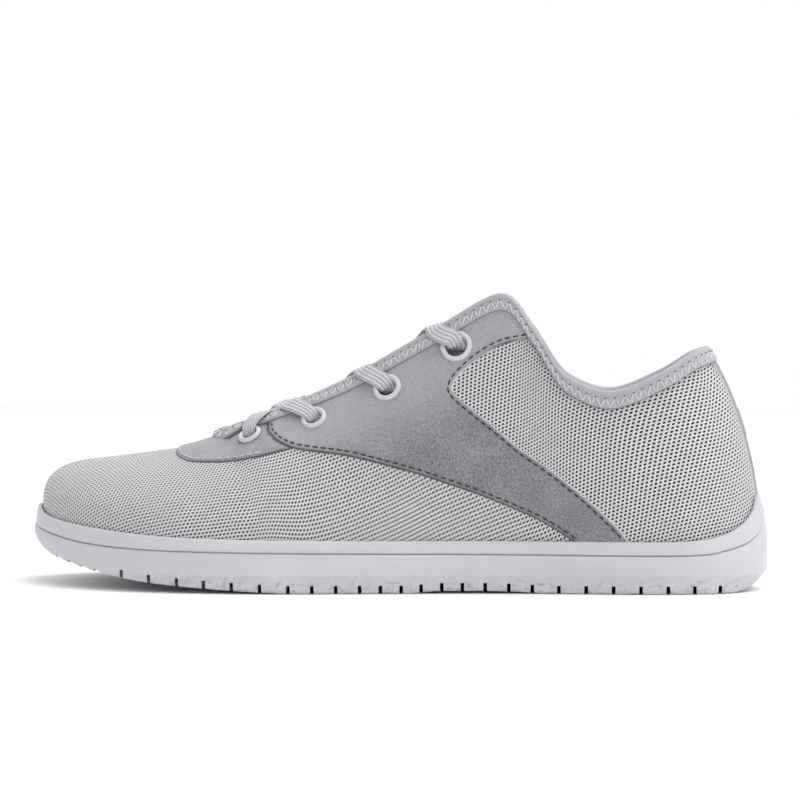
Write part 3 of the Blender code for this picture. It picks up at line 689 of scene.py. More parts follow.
def knit_finish():
    """Polyester warp knit: open, matt threads over holes painted near-black as painted shade inside the
    shoe, closer and paler toward the toe, with a painted highlight on the threads' crests.
    """
    made, tree = new_finish("polyester_warp_knit", 0.72, Sheen_Weight=0.05, Sheen_Roughness=0.5)
    mm = object_mm(tree)
    flat = add(tree, "SeparateXYZ", {0: mm})
    lay = map_values(tree, "knit")
    away, crest = knit_cells(tree, lay[0], lay[1])
    wobble = add(tree, "TexNoise", {"Vector": mm, "Scale": 0.9, "Detail": 2.0})
    uneven = add(tree, "MapRange", {0: wobble, 3: -0.15, 4: 0.15})
    distance = add(tree, "Math", {0: away, 1: uneven}, operation="ADD")
    thread = add(tree, "MapRange", {0: distance, 1: 1.04, 2: 1.26}, interpolation_type="SMOOTHSTEP")
    toe = add(tree, "MapRange", {0: flat.outputs[0], 1: -125.0, 2: -55.0, 3: 0.25, 4: 1.0})
    # Holes: painted shade, near-black where the inside shows through, paler toward the toe
    hole = add(tree, "Mix", {0: toe, 6: colour("68686e"), 7: colour("020202")}, data_type="RGBA")
    cloud = add(tree, "TexNoise", {"Vector": mm, "Scale": 0.045, "Detail": 3.0})
    tint = add(tree, "Mix", {0: cloud, 6: colour("88888e"), 7: colour("9a9aa0")}, data_type="RGBA")
    # Painted highlight: the threads' crests are lifted toward white
    painted_crest_highlight = add(tree, "Mix", {0: crest, 6: tint, 7: colour("ffffff")}, data_type="RGBA")
    paint = add(tree, "Mix", {0: thread, 6: hole, 7: painted_crest_highlight}, data_type="RGBA")
    height = add(tree, "Math", {0: crest, 1: 0.35, 2: thread}, operation="MULTIPLY_ADD")
    return dressed(made, paint, {"Height": height, "Strength": 0.6, "Distance": 0.0004})


def suede_finish(name, low, high, pale, rear_highlight):
    """Brushed microfibre suede: short nap that mottles the grey, fine grain, painted top light, painted
    shade along the cut edge and a painted highlight where the edge faces the heel.
    """
    made, tree = new_finish(name, 0.92, Sheen_Weight=0.3, Sheen_Roughness=0.6)
    mm = object_mm(tree)
    grain = add(tree, "TexNoise", {"Vector": mm, "Scale": 1.6, "Detail": 2.0, "Roughness": 0.7})
    nap = add(tree, "MapRange", {0: grain, 1: 0.36, 2: 0.64})
    mottle = add(tree, "TexNoise", {"Vector": mm, "Scale": 0.09, "Detail": 3.0})
    both = add(tree, "Math", {0: mottle, 1: 0.5, 2: -0.02}, operation="MULTIPLY_ADD")
    share = add(tree, "Math", {0: nap, 1: 0.6, 2: both}, operation="MULTIPLY_ADD")
    paint = add(tree, "Mix", {0: share, 6: colour(low), 7: colour(high)}, data_type="RGBA")
    # How close to the outline: painted edge shade within about a millimetre
    inside = map_values(tree, "edge")[0]
    cut = add(tree, "MapRange", {0: inside, 1: 0.35, 2: 0.85, 3: 0.75, 4: 0.0})
    # Painted top light: lighter toward the laces and high on the shoe, darker down the strap
    flat = add(tree, "SeparateXYZ", {0: mm})
    slope = add(tree, "Math", {0: flat.outputs[0], 1: -0.5, 2: flat.outputs[2]}, operation="MULTIPLY_ADD")
    toward = add(
        tree, "MapRange", {0: slope, 1: 44.0, 2: 74.0, 3: 0.0, 4: pale}, interpolation_type="SMOOTHSTEP"
    )
    painted_top_light = add(tree, "Mix", {0: toward, 6: paint, 7: colour("c2c2c7")}, data_type="RGBA")
    # Painted shade darkens the edge where the suede steps down to the knit; where the edge faces the heel it
    # carries a painted highlight instead
    facing = add(tree, "SeparateXYZ", {0: add(tree, "NewGeometry").outputs["Normal"]})
    rear_highlight_share = add(tree, "MapRange", {0: facing.outputs[0], 1: 0.15, 2: 0.45})
    rim = add(tree, "Mix", {0: rear_highlight_share, 6: colour("303034"), 7: colour(rear_highlight)}, data_type="RGBA")
    edged = add(tree, "Mix", {0: cut, 6: painted_top_light, 7: rim}, data_type="RGBA")
    return dressed(made, edged, {"Height": grain, "Strength": 0.5, "Distance": 0.0004})


def rubber_finish():
    """Moulded rubber cupsole, off-white and matt, with small scuffs, and scratches low on the wall."""
    made, tree = new_finish("moulded_rubber", 0.5, Specular_IOR_Level=0.4)
    mm = object_mm(tree)
    cloud = add(tree, "TexNoise", {"Vector": mm, "Scale": 0.06, "Detail": 5.0, "Roughness": 0.6})
    tint = add(tree, "Mix", {0: cloud, 6: colour("c0c1c6"), 7: colour("cfd0d4")}, data_type="RGBA")
    stretched = add(tree, "Mapping", {"Vector": mm, "Scale": (0.12, 1.0, 0.9)})
    specks = add(tree, "TexVoronoi", {"Vector": stretched, "Scale": 0.28, "Randomness": 1.0})
    scuff = add(tree, "MapRange", {0: specks, 1: 0.03, 2: 0.09, 3: 0.55, 4: 0.0})
    paint = add(tree, "Mix", {0: scuff, 6: tint, 7: colour("8e8e92")}, data_type="RGBA")
    level = add(tree, "SeparateXYZ", {0: mm})
    low = add(tree, "MapRange", {0: level.outputs[2], 1: 3.5, 2: 6.5, 3: 1.0, 4: 0.0})
    rubbed = add(tree, "Mapping", {"Vector": mm, "Scale": (0.35, 0.5, 1.1), "Rotation": (0, 0.3, 0)})
    ridges = add(tree, "TexNoise", {"Vector": rubbed, "Scale": 0.55, "Detail": 4.0, "Roughness": 0.7})
    scratch = add(tree, "MapRange", {0: ridges, 1: 0.57, 2: 0.66, 3: 0.0, 4: 0.45})
    scratched = add(tree, "Math", {0: scratch, 1: low}, operation="MULTIPLY")
    marked = add(tree, "Mix", {0: scratched, 6: paint, 7: colour("7c7c81")}, data_type="RGBA")
    fine = add(tree, "TexNoise", {"Vector": mm, "Scale": 2.2, "Detail": 3.0})
    grain = add(tree, "Bump", {"Height": fine, "Strength": 0.12, "Distance": 0.0003})
    # Lugs are faceted where they wear: flat patches about 5 mm across, only low on the wall
    bent = add(tree, "TexNoise", {"Vector": mm, "Scale": 0.25, "Detail": 2.0})
    turned = add(
        tree, "VectorMath", {0: bent.outputs[1], 1: (6, 6, 6), 2: mm}, operation="MULTIPLY_ADD"
    )
    facets = add(tree, "TexVoronoi", {"Vector": turned, "Scale": 0.21}, feature="SMOOTH_F1")
    worn = add(tree, "Math", {0: facets, 1: low}, operation="MULTIPLY")
    return dressed(
        made, marked, {"Height": worn, "Strength": 1.0, "Distance": 0.0022, "Normal": grain}
    )


def tape_finish():
    """Woven elastic tape, folded: fine ribs across it, a soft satin gleam and a painted shadow line just
    above its lower edge.
    """
    made, tree = new_finish("woven_elastic_tape", 0.6, Sheen_Weight=0.2)
    lay = map_values(tree, "tape")
    # Real ribs are 0.4 mm apart; 0.55 mm still shows
    turn = add(tree, "Math", {0: lay[0], 1: 2 * math.pi / 0.55}, operation="MULTIPLY")
    wave = add(tree, "Math", {0: turn}, operation="SINE")
    rib = add(tree, "MapRange", {0: wave, 1: -1.0, 2: 1.0})
    paint = add(tree, "Mix", {0: rib, 6: colour("96969c"), 7: colour("bebec4")}, data_type="RGBA")
    # Painted shadow: a dark line on the outer face just above the tape's lower edge
    edge = add(tree, "MapRange", {0: lay[1], 1: 2.2, 2: 2.75, 3: 0.7, 4: 0.0})
    edged = add(tree, "Mix", {0: edge, 6: paint, 7: colour("3c3c40")}, data_type="RGBA")
    return dressed(made, edged, {"Height": rib, "Strength": 0.4, "Distance": 0.0002})


def lace_finish():
    """Flat braided polyester lace: slanted plaits in bands along the tape."""
    made, tree = new_finish("braided_polyester", 0.65, Sheen_Weight=0.2)
    lay = map_values(tree, "tape")
    across = add(tree, "Math", {0: lay[1], 1: 1.45}, operation="DIVIDE")
    fold = add(tree, "Math", {0: across, 1: 1.0}, operation="PINGPONG")
    slanted = add(tree, "Math", {0: fold, 1: 0.9, 2: lay[0]}, operation="MULTIPLY_ADD")
    turn = add(tree, "Math", {0: slanted, 1: 2 * math.pi / 0.9}, operation="MULTIPLY")
    wave = add(tree, "Math", {0: turn}, operation="SINE")
    edge = add(tree, "Math", {0: fold, 1: 0.5}, operation="SUBTRACT")
    flank = add(tree, "Math", {0: edge}, operation="ABSOLUTE")
    band = add(tree, "Math", {0: flank, 1: -2.2, 2: 1.0}, operation="MULTIPLY_ADD")
    # The tone follows the plaits' height: painted shade in the grooves between the bands
    plait = add(tree, "Math", {0: wave, 1: 0.2, 2: band}, operation="MULTIPLY_ADD")
    share = add(tree, "MapRange", {0: plait, 1: -0.3, 2: 1.1})
    paint = add(tree, "Mix", {0: share, 6: colour("8f8f94"), 7: colour("dcdce0")}, data_type="RGBA")
    return dressed(made, paint, {"Height": plait, "Strength": 0.6, "Distance": 0.0003})


def lining_finish(name, low, high, scale):
    """Brushed polyester lining: soft and matt, with a faint fleck."""
    made, tree = new_finish(name, 0.95, Sheen_Weight=0.2)
    fleck = add(tree, "TexNoise", {"Vector": object_mm(tree), "Scale": scale, "Detail": 3.0})
    paint = add(tree, "Mix", {0: fleck, 6: colour(low), 7: colour(high)}, data_type="RGBA")
    return dressed(made, paint, {"Height": fleck, "Strength": 0.3, "Distance": 0.0003})


def plain_finish(name, code, roughness, scale, spread):
    """Even finish with a faint unevenness, for thread, plastic and floor."""
    made, tree = new_finish(name, roughness)
    cloud = add(tree, "TexNoise", {"Vector": object_mm(tree), "Scale": scale, "Detail": 2.0})
    shade = tuple(c * (1 - spread) for c in colour(code)[:3]) + (1.0,)
    return dressed(made, add(tree, "Mix", {0: cloud, 6: shade, 7: colour(code)}, data_type="RGBA"))


KNIT = knit_finish()
SUEDE = suede_finish("microfibre_suede", "54545a", "9c9ca1", 0.42, "d0d0d4")
SADDLE_SUEDE = suede_finish("microfibre_suede_front", "76767c", "aaaab0", 0.0, "303034")
RUBBER = rubber_finish()
# Dark grey on the slits' walls: painted shade inside the narrow slits
SLIT_SHADE = plain_finish("rubber_slit_painted_shade", "4a4a4d", 0.9, 0.5, 0.3)
TAPE = tape_finish()
LACE = lace_finish()
LINING = lining_finish("brushed_polyester_lining", "a2a2a7", "b9b9be", 1.4)
FOOTBED = lining_finish("felted_insole_cover", "8b8b90", "a6a6ab", 1.1)
# Dark thread for the quarters' stitches; its beads at the binding's needle holes are painted shade in the
# holes
DARK_THREAD_AND_HOLE_SHADE = plain_finish("dark_polyester_thread", "232326", 0.7, 3.0, 0.3)
PALE_THREAD = plain_finish("pale_polyester_thread", "dcdce0", 0.5, 3.0, 0.1)
RING = plain_finish("satin_moulded_nylon", "cfcfd4", 0.3, 0.2, 0.05)
ORANGE = plain_finish("orange_woven_tab", "c98a70", 0.6, 2.0, 0.15)


# Knit upper

ROW_CLIMB = 0.42
VAMP_END = 9.6


def quarter_map(points):
    """Millimetres round and up the wall, leaning so that the rows climb toward the heel, then level out."""
    middle = points[:, points.shape[1] // 3]
    steps = np.linalg.norm(np.diff(middle, axis=0, append=middle[:1]), axis=1)
    along = np.concatenate(([0], np.cumsum(steps)[:-1])) / MM
    whole = along[-1] + steps[-1] / MM
    toward = np.minimum(along, whole - along)
    lean = np.interp(toward / toward.max(), (0.0, 0.72, 0.95, 1.0), (ROW_CLIMB, ROW_CLIMB, 0.12, 0.0))
    order = np.argsort(toward)
    means = (lean[order][1:] + lean[order][:-1]) / 2
    climb = np.zeros(len(toward))
    climb[order] = np.concatenate(([0], np.cumsum(np.diff(toward[order]) * means)))
    up = arc_up(points)
    return np.stack((toward[:, None] + lean[:, None] * up, up - climb[:, None]), axis=-1)


def arc_up(points):
    """Millimetres up each column of the wall."""
    steps = np.linalg.norm(np.diff(points, axis=1), axis=2)
    return np.concatenate((np.zeros((len(points), 1)), np.cumsum(steps, axis=1)), axis=1) / MM


def vamp_map(places, points):
    """The knit's own plane, in millimetres: each column of the wall unrolled from the top outward."""
    up = arc_up(points)
    whole = wall(places[:, None], np.linspace(0, 1, 60)[None, :])
    top, foot = whole[:, -1, :2] / MM, whole[:, 0, :2] / MM
    way = unit(foot - top)
    length = arc_up(whole)[:, -1]
    # Behind the vamp's end the top edge bends to the collar, so the rows go on as the throat's edge rises
    for side in (places <= LAST, places > LAST):
        behind = side & (from_toe(places) > VAMP_END)
        at = np.where(side & ~behind)[0]
        edge = at[np.argmax(from_toe(places[at]))]
        on = foot[behind, 0] - foot[edge, 0]
        top[behind] = top[edge] + np.stack((on, 0 * on), axis=-1)
        way[behind] = way[edge]
        length[behind] = length[edge] + ROW_CLIMB * on
    lay = top[:, None] + way[:, None] * (length[:, None] - up)[..., None]
    # The rows climb toward the heel, and the stitches' columns lean with them
    lay[..., 0] += ROW_CLIMB * np.interp(foot[:, 0], (-95, -15), (0, 1))[:, None] * up
    return lay


STRAP_MIDDLE = ((-30, 75), (0, 60), (40, 45), (70, 24), (80, 0))


def make_knit_upper():
    """One knit shell with a real wall: knit outside, brushed lining inside."""
    places = all_places(KNIT_STEP)
    rim = rim_share(places)
    rows = np.linspace(0, 1, KNIT_ROWS)
    shares = np.concatenate((0 * rim[:, None], mix(0.6 * rim[:, None], 1.0, rows[None, :])), axis=1)
    outer = surface(places[:, None], shares)
    normal = surface_normal(places[:, None], shares)
    inner = outer - UPPER_WALL * normal
    count, columns = shares.shape
    faces = grid_faces(count, columns, loop_rows=True)
    total = count * columns
    back = faces[:, ::-1] + total
    open_edge = from_toe(places) > BOW_FRONT - 1e-6
    edge = []
    for i in range(count):
        j = (i + 1) % count
        if open_edge[i] and open_edge[j]:
            a, b = i * columns + columns - 1, j * columns + columns - 1
            edge.append([a, b, b + total, a + total])
        a, b = i * columns, j * columns
        edge.append([b, a, a + total, b + total])
    points = np.concatenate((outer.reshape(-1, 3), inner.reshape(-1, 3)))
    strap_x = np.interp(-outer[..., 2] / MM, [-z for _, z in STRAP_MIDDLE], [x for x, _ in STRAP_MIDDLE])
    behind = (outer[..., 0] / MM > strap_x)[..., None]
    lay = np.where(behind, quarter_map(outer), vamp_map(places, outer)).reshape(-1, 2)
    every = np.concatenate((faces, back, np.array(edge)))
    chosen = np.concatenate((np.zeros(len(faces)), np.ones(len(back) + len(edge))))
    return piece_from(
        "knit_upper", points, every, (KNIT, LINING), chosen,
        {"knit": np.tile(lay, (2, 1))}, weld=0.00002,
    )


# Sole

TOE_SLIT_LENGTH = 4.4 * MM
HALF_SLIT = 0.75 * MM
SLIT_LEAN = 0.12 * MM


def make_sole():
    """Moulded cupsole: rounded rim, fine groove, swelling side wall and slits between the lugs."""
    place = all_places(SOLE_PLACES_STEP)
    rim = rim_share(place)
    inner = [shell_point(place, share, GAP) for share in (0 * rim, rim / 2, 0.97 * rim)]
    inner[0][:, 2] = floor_height(inner[0][:, 0])
    top = shell_point(place, rim, GAP)
    out_x, out_y = outward(place)
    thick = loop_value("sole", place)
    rim_z = top[:, 2]
    groove_z = groove_height(loop_value("foot_x", place))
    base = bottom_height(top[:, 0] + thick * out_x)
    tuck_base = bottom_height(top[:, 0] + (thick - EDGE_TUCK) * out_x)
    band = mix(RIM_LIP, thick, 0.55)
    under = thick - 2.2 * EDGE_TUCK

    def ring(distance, z):
        return np.stack((top[:, 0] + distance * out_x, top[:, 1] + distance * out_y, z), axis=-1)

    profile = inner + [
        ring(0.05 * RIM_LIP, rim_z + 0.00 * MM), ring(0.30 * RIM_LIP, rim_z + 0.25 * MM),
        ring(0.62 * RIM_LIP, rim_z + 0.22 * MM), ring(0.90 * RIM_LIP, rim_z - 0.12 * MM),
        ring(RIM_LIP + 0.02 * MM, rim_z - 0.65 * MM),
        ring(mix(RIM_LIP, band, 0.45), mix(groove_z, rim_z, 0.62)),
        ring(mix(RIM_LIP, band, 0.85), mix(groove_z, rim_z, 0.40)),
        ring(band, groove_z + 0.85 * MM), ring(band - 0.04 * MM, groove_z + 0.42 * MM),
        ring(band - 0.30 * MM, groove_z + 0.22 * MM), ring(band - GROOVE_DEPTH, groove_z + 0.12 * MM),
        ring(band - GROOVE_DEPTH, groove_z - 0.10 * MM), ring(band - 0.15 * MM, groove_z - 0.25 * MM),
        ring(band + 0.10 * MM, groove_z - 0.55 * MM),
        ring(mix(band, thick, 0.55), mix(base, groove_z, 0.84)),
        ring(mix(band, thick, 0.9), mix(base, groove_z, 0.68)), ring(thick, mix(base, groove_z, 0.5)),
        ring(thick, mix(base, groove_z, 0.34)), ring(thick - 0.06 * EDGE_TUCK, base + 1.1 * EDGE_HEIGHT),
        ring(thick - 0.18 * EDGE_TUCK, base + 0.55 * EDGE_HEIGHT),
        ring(thick - 0.45 * EDGE_TUCK, base + 0.18 * EDGE_HEIGHT),
        ring(thick - EDGE_TUCK, tuck_base), ring(under, bottom_height(top[:, 0] + under * out_x)),
    ]
    sections = np.stack(profile, axis=1)
    rows, columns = sections.shape[:2]
    faces = [list(face[::-1]) for face in grid_faces(rows, columns, loop_rows=True)]
    half = rows // 2
    for i in range(half):
        loop = (i, i + 1, (rows - i - 1) % rows, (rows - i) % rows)
        for end, turn in ((0, 1), (columns - 1, -1)):
            corners = []
            for row in loop[::turn]:
                if row * columns + end not in corners:
                    corners.append(row * columns + end)
            faces.append(corners)
    sole = piece_from("rubber_cupsole", sections.reshape(-1, 3), faces, (RUBBER,), weld=0.000005)
    face_outward(sole.data)
    blocks, block_faces = [], []
    for row, is_toe in ((TOE_SLITS, True), (LUG_SLITS, False)):
        for share in row:
            x = share * LENGTH
            lowest = float(bottom_height(x))
            if is_toe:
                back = x + TOE_SLIT_LENGTH
                low = float(bottom_height(back))
                outline = ((x, lowest - 3 * MM), (back, low - 3 * MM), (back, low), (x, lowest + 1.0 * MM))
            else:
                narrow = HALF_SLIT - SLIT_LEAN
                outline = (
                    (x - HALF_SLIT, -2 * MM), (x + HALF_SLIT, -2 * MM),
                    (x + narrow, lowest + LUG_DEPTH), (x - narrow, lowest + LUG_DEPTH),
                )
            start = len(blocks)
            blocks += [(px, y, pz) for y in (-BALL_WIDTH, BALL_WIDTH) for px, pz in outline]
            quads = ((0, 1, 2, 3), (7, 6, 5, 4), (0, 4, 5, 1), (1, 5, 6, 2), (2, 6, 7, 3), (3, 7, 4, 0))
            block_faces += [[start + k for k in quad] for quad in quads]
    # The slits' walls take the cutter's dark finish: painted shade
    cutter = piece_from("slits", blocks, block_faces, (SLIT_SHADE,))
    face_outward(cutter.data)
    cut_out(sole, cutter)
    sharpen(sole, 40)
    return sole


# Suede


def eased(outline_part, each=8):
    """Smooth line through the points of one part of an outline, in metres."""
    points = np.array([(x * LENGTH, z * TIP_HEIGHT) for x, z in outline_part])
    before = np.vstack((2 * points[0] - points[1], points[:-1]))
    after = np.vstack((points[1:], 2 * points[-1] - points[-2]))
    slope = (after - before) / 2
    line = []
    for k in range(len(points) - 1):
        t = (np.arange(each) / each)[:, None]
        line.append(cubic(points[k], points[k + 1], slope[k], slope[k + 1], t))
    return np.vstack(line + [points[-1:]])


def outline_distance(points, outline):
    """How far inside a closed side outline each point lies (negative outside), and the way inward."""
    flat = points[:, [0, 2]]
    nearest = np.full(len(flat), 1e9)
    way = np.zeros_like(flat)
    inside = np.zeros(len(flat), bool)
    for start, end in zip(outline, np.roll(outline, -1, axis=0)):
        run = end - start
        t = np.clip(((flat - start) @ run) / max(run @ run, 1e-18), 0, 1)
        apart = flat - start - t[:, None] * run
        size = np.linalg.norm(apart, axis=1)
        closer = size < nearest
        nearest = np.where(closer, size, nearest)
        way = np.where(closer[:, None], apart / np.maximum(size, 1e-12)[:, None], way)
        spans = (start[1] > flat[:, 1]) != (end[1] > flat[:, 1])
        cross = start[0] + (flat[:, 1] - start[1]) / (run[1] if run[1] else 1e-12) * run[0]
        inside ^= spans & (flat[:, 0] < cross)
    return np.where(inside, nearest, -nearest), way


def inside_outline(outline):
    """Distance inside the outline measured on the leaning wall instead of in the side view."""
    def measure(points, normals):
        distance, way = outline_distance(points, outline)
        toward = way[:, 0] * normals[:, 0] + way[:, 1] * normals[:, 2]
        return distance / np.sqrt(np.clip(1 - toward**2, 0.12, 1))
    return measure


STITCH_INSET = 1.6 * MM
STITCH_PITCH = 3.0 * MM
STITCH_LENGTH = 2.3 * MM
EDGE_THREAD = 0.28 * MM
SUEDE_SHEET = 0.35 * MM


def in_eyelet(points):
    """Which points lie inside the ring of an eyelet."""
    inside = np.zeros(len(points), bool)
    for place, distance, radius in EYELETS:
        for turn in (place, AROUND - place):
            matrix = np.array(eyelet_frame(turn, distance))
            apart = points - matrix[:3, 3]
            along = apart @ matrix[:3, 2]
            aside = np.linalg.norm(apart - along[:, None] * matrix[:3, 2], axis=1)
            inside |= (aside < radius - RING_BAND + EYELET_WALL) & (np.abs(along) < 4 * MM)
    return inside


def suede_piece(name, places, shares, measure, height=SUEDE_HEIGHT, finish=None):
    """Suede over the knit: proud inside its outline, its turned edge dipping under the knit outside."""
    grid_places = np.broadcast_to(places[:, None], shares.shape)
    points = surface(grid_places, shares).reshape(-1, 3)
    normals = surface_normal(grid_places, shares).reshape(-1, 3)
    inside = measure(points, normals)
    rise = height * np.tanh(inside / (0.75 * MM))
    rise -= 0.22 * MM * np.exp(-(((inside - STITCH_INSET) / (0.55 * MM)) ** 2))
    faces = grid_faces(*shares.shape)
    kept = faces[(inside[faces] > -0.9 * MM).any(axis=1) & ~in_eyelet(points)[faces].any(axis=1)]
    used = np.unique(kept)
    renumber = np.zeros(len(points), int)
    renumber[used] = np.arange(len(used))
    piece = piece_from(
        name, (points + rise[:, None] * normals)[used], renumber[kept], (finish or SUEDE,),
        maps={"edge": np.stack((inside, inside), axis=-1)[used] / MM}, weld=0.000005,
    )
    return thicken(piece, SUEDE_SHEET)


def cell_shares(places, low, high):
    tallest = np.linalg.norm(surface(places, high) - surface(places, low), axis=1).max()
    count = int(tallest * 1.12 / SUEDE_CELL)
    return mix(low[:, None], high[:, None], np.linspace(0, 1, count)[None, :])


def cell_places(first, last):
    side = side_places(SUEDE_CELL)
    return side[(side >= first - 1e-9) & (side <= last + 1e-9)]


QUARTER_OUTLINE = np.vstack((
    eased(QUARTER_FRONT + QUARTER_LOW), eased(QUARTER_REAR), eased(QUARTER_TOP, 1)
))
SADDLE_OUTLINE = np.vstack((
    eased(SADDLE_FRONT + SADDLE_LOW), eased(QUARTER_FRONT[::-1]) - (0.0001, 0)
))


def make_suede():
    pieces = []
    for side in ("lateral", "medial"):
        near = cell_places(THROAT_START + 0.6, LAST - 2.0)
        places = near if side == "lateral" else AROUND - near
        low = rim_share(places, above=-2 * MM)
        high = edge_share(places, 0.45 * BINDING_WIDTH)
        shares = cell_shares(places, low, high)
        if side == "medial":
            shares = shares[::-1]
            places = places[::-1]
        pieces.append(suede_piece("suede_quarter_" + side, places, shares, inside_outline(QUARTER_OUTLINE)))
    return pieces


def make_saddle():
    """Front suede over both sides, one sheet across the ridge in front of the throat."""
    near = cell_places(4.4, 9.1)
    closed = near < BOW_FRONT + 1e-6
    high = np.where(closed, 1.0, edge_share(near, 0.45 * BINDING_WIDTH))
    low = edge_share(near, 30 * MM)
    shares = cell_shares(near, low, high)
    far = (AROUND - near)[::-1]
    measure = inside_outline(SADDLE_OUTLINE)
    height = SUEDE_HEIGHT - 0.25 * MM
    first = suede_piece("saddle_half", near, shares, measure, height, SADDLE_SUEDE)
    second = suede_piece("throat_saddle_suede", far, shares[::-1], measure, height, SADDLE_SUEDE)
    return join(second, [first])


def join(piece, others):
    """Others become part of the piece."""
    work = bmesh.new()
    for each in [piece] + others:
        work.from_mesh(each.data)
    bmesh.ops.remove_doubles(work, verts=work.verts, dist=0.000005)
    work.to_mesh(piece.data)
    work.free()
    for each in others:
        bpy.data.objects.remove(each, do_unlink=True)
    return piece


BACKSTAY_HALF_WIDTH = 4.4 * MM
HEEL_BAR_LOW = 54.5 * MM
HEEL_BAR_HIGH = 66.5 * MM
HEEL_BAR_HALF_WIDTH = 1.9 * MM


def heel_places():
    """Places across the back of the heel, outer side first."""
    side = cell_places(LAST - 1.2, LAST)
    return np.concatenate((side, (AROUND - side[:-1])[::-1]))


def make_backstay():
    """Narrow suede strip up the middle of the heel."""
    places = heel_places()
    low, high = rim_share(places, above=-2 * MM), edge_share(places, 0.45 * BINDING_WIDTH)
    return suede_piece(
        "heel_backstay", places, cell_shares(places, low, high),
        lambda points, normals: BACKSTAY_HALF_WIDTH - np.abs(points[:, 1]),
    )


def make_heel_bar():
    """Plain orange woven bar, sewn flat on the backstay."""
    places = heel_places()
    low, high = rim_share(places, above=20 * MM), edge_share(places, 8 * MM)

    def measure(points, normals):
        level = np.minimum(points[:, 2] - HEEL_BAR_LOW, HEEL_BAR_HIGH - points[:, 2])
        return np.minimum(level, HEEL_BAR_HALF_WIDTH - np.abs(points[:, 1]))

    height = SUEDE_HEIGHT + 0.45 * MM
    return suede_piece("orange_heel_bar", places, cell_shares(places, low, high), measure, height, ORANGE)


# Stitches, made with Geometry Nodes


def stitch_tree():
    """Stitches on points: each is a spindle lying along its point's run, as long as the run."""
    tree = bpy.data.node_groups.new("stitches", "GeometryNodeTree")
    face = tree.interface
    face.new_socket("Geometry", in_out="INPUT", socket_type="NodeSocketGeometry")
    face.new_socket("Radius", in_out="INPUT", socket_type="NodeSocketFloat")
    face.new_socket("Material", in_out="INPUT", socket_type="NodeSocketMaterial")
    face.new_socket("Geometry", in_out="OUTPUT", socket_type="NodeSocketGeometry")
    start = add(tree, "NodeGroupInput")
    run = add(tree, "GeometryNodeInputNamedAttribute", {"Name": "run"}, data_type="FLOAT_VECTOR")
    size = add(tree, "VectorMath", {0: run}, operation="LENGTH")
    half = add(tree, "Math", {0: size, 1: 0.5}, operation="MULTIPLY")
    turn = add(tree, "FunctionNodeAlignRotationToVector", {"Vector": run}, axis="Z")
    shape = add(tree, "CombineXYZ", {0: start.outputs[1], 1: start.outputs[1], 2: half})
    spindle = add(tree, "GeometryNodeMeshUVSphere", {"Segments": 6, "Rings": 5, "Radius": 1.0})
    placed = add(
        tree, "GeometryNodeInstanceOnPoints",
        {"Points": start.outputs[0], "Instance": spindle, "Rotation": turn, "Scale": shape},
    )
    real = add(tree, "GeometryNodeRealizeInstances", {0: placed})
    smooth = add(tree, "GeometryNodeSetShadeSmooth", {"Geometry": real})
    finish = add(tree, "GeometryNodeSetMaterial", {"Geometry": smooth, "Material": start.outputs[2]})
    add(tree, "NodeGroupOutput", {0: finish})
    return tree


STITCHES = stitch_tree()


def sew(name, points, runs, radius, finish):
    """Plain mesh of stitches at points, each along its run."""
    mesh = bpy.data.meshes.new(name)
    mesh.from_pydata([tuple(p) for p in points], [], [])
    held = mesh.attributes.new("run", "FLOAT_VECTOR", "POINT")
    held.data.foreach_set("vector", np.asarray(runs, np.float32).ravel())
    piece = bpy.data.objects.new(name, mesh)
    bpy.context.scene.collection.objects.link(piece)
    maker = piece.modifiers.new("stitches", "NODES")
    maker.node_group = STITCHES
    for socket in STITCHES.interface.items_tree:
        if socket.in_out == "INPUT" and socket.name == "Radius":
            maker[socket.identifier] = radius
        if socket.in_out == "INPUT" and socket.name == "Material":
            maker[socket.identifier] = finish
    return settle(piece)


def wall_at(flat, side):
    """Place and share on one side of the upper for points seen from the side."""
    near = np.linspace(3.0, LAST - 0.5, 260)
    rows = np.linspace(0.02, 1.0, 120)
    turn = near if side == "lateral" else AROUND - near
    cloud = surface(turn[:, None], rows[None, :])[..., [0, 2]].reshape(-1, 2)
    place, share = np.empty(len(flat)), np.empty(len(flat))
    for k, target in enumerate(flat):
        best = int(np.argmin(((cloud - target) ** 2).sum(axis=1)))
        place[k], share[k] = turn[best // len(rows)], rows[best % len(rows)]
    step = 1e-4
    for _ in range(4):
        here = surface(place, share)[:, [0, 2]]
        by_place = (surface(place + step, share)[:, [0, 2]] - here) / step
        by_share = (surface(place, share + step)[:, [0, 2]] - here) / step
        miss = flat - here
        area = by_place[:, 0] * by_share[:, 1] - by_place[:, 1] * by_share[:, 0]
        area = np.where(np.abs(area) < 1e-9, 1e-9, area)
        change_place = (miss[:, 0] * by_share[:, 1] - miss[:, 1] * by_share[:, 0]) / area
        change_share = (by_place[:, 0] * miss[:, 1] - by_place[:, 1] * miss[:, 0]) / area
        place += np.clip(change_place, -0.2, 0.2)
        share = np.clip(share + np.clip(change_share, -0.05, 0.05), 0, 1)
    return place, share


def even_points(line, step):
    """Points one step apart along a line."""
    length = lengths_along(line)
    return points_at(np.arange(step / 2, length[-1], step), length, line)


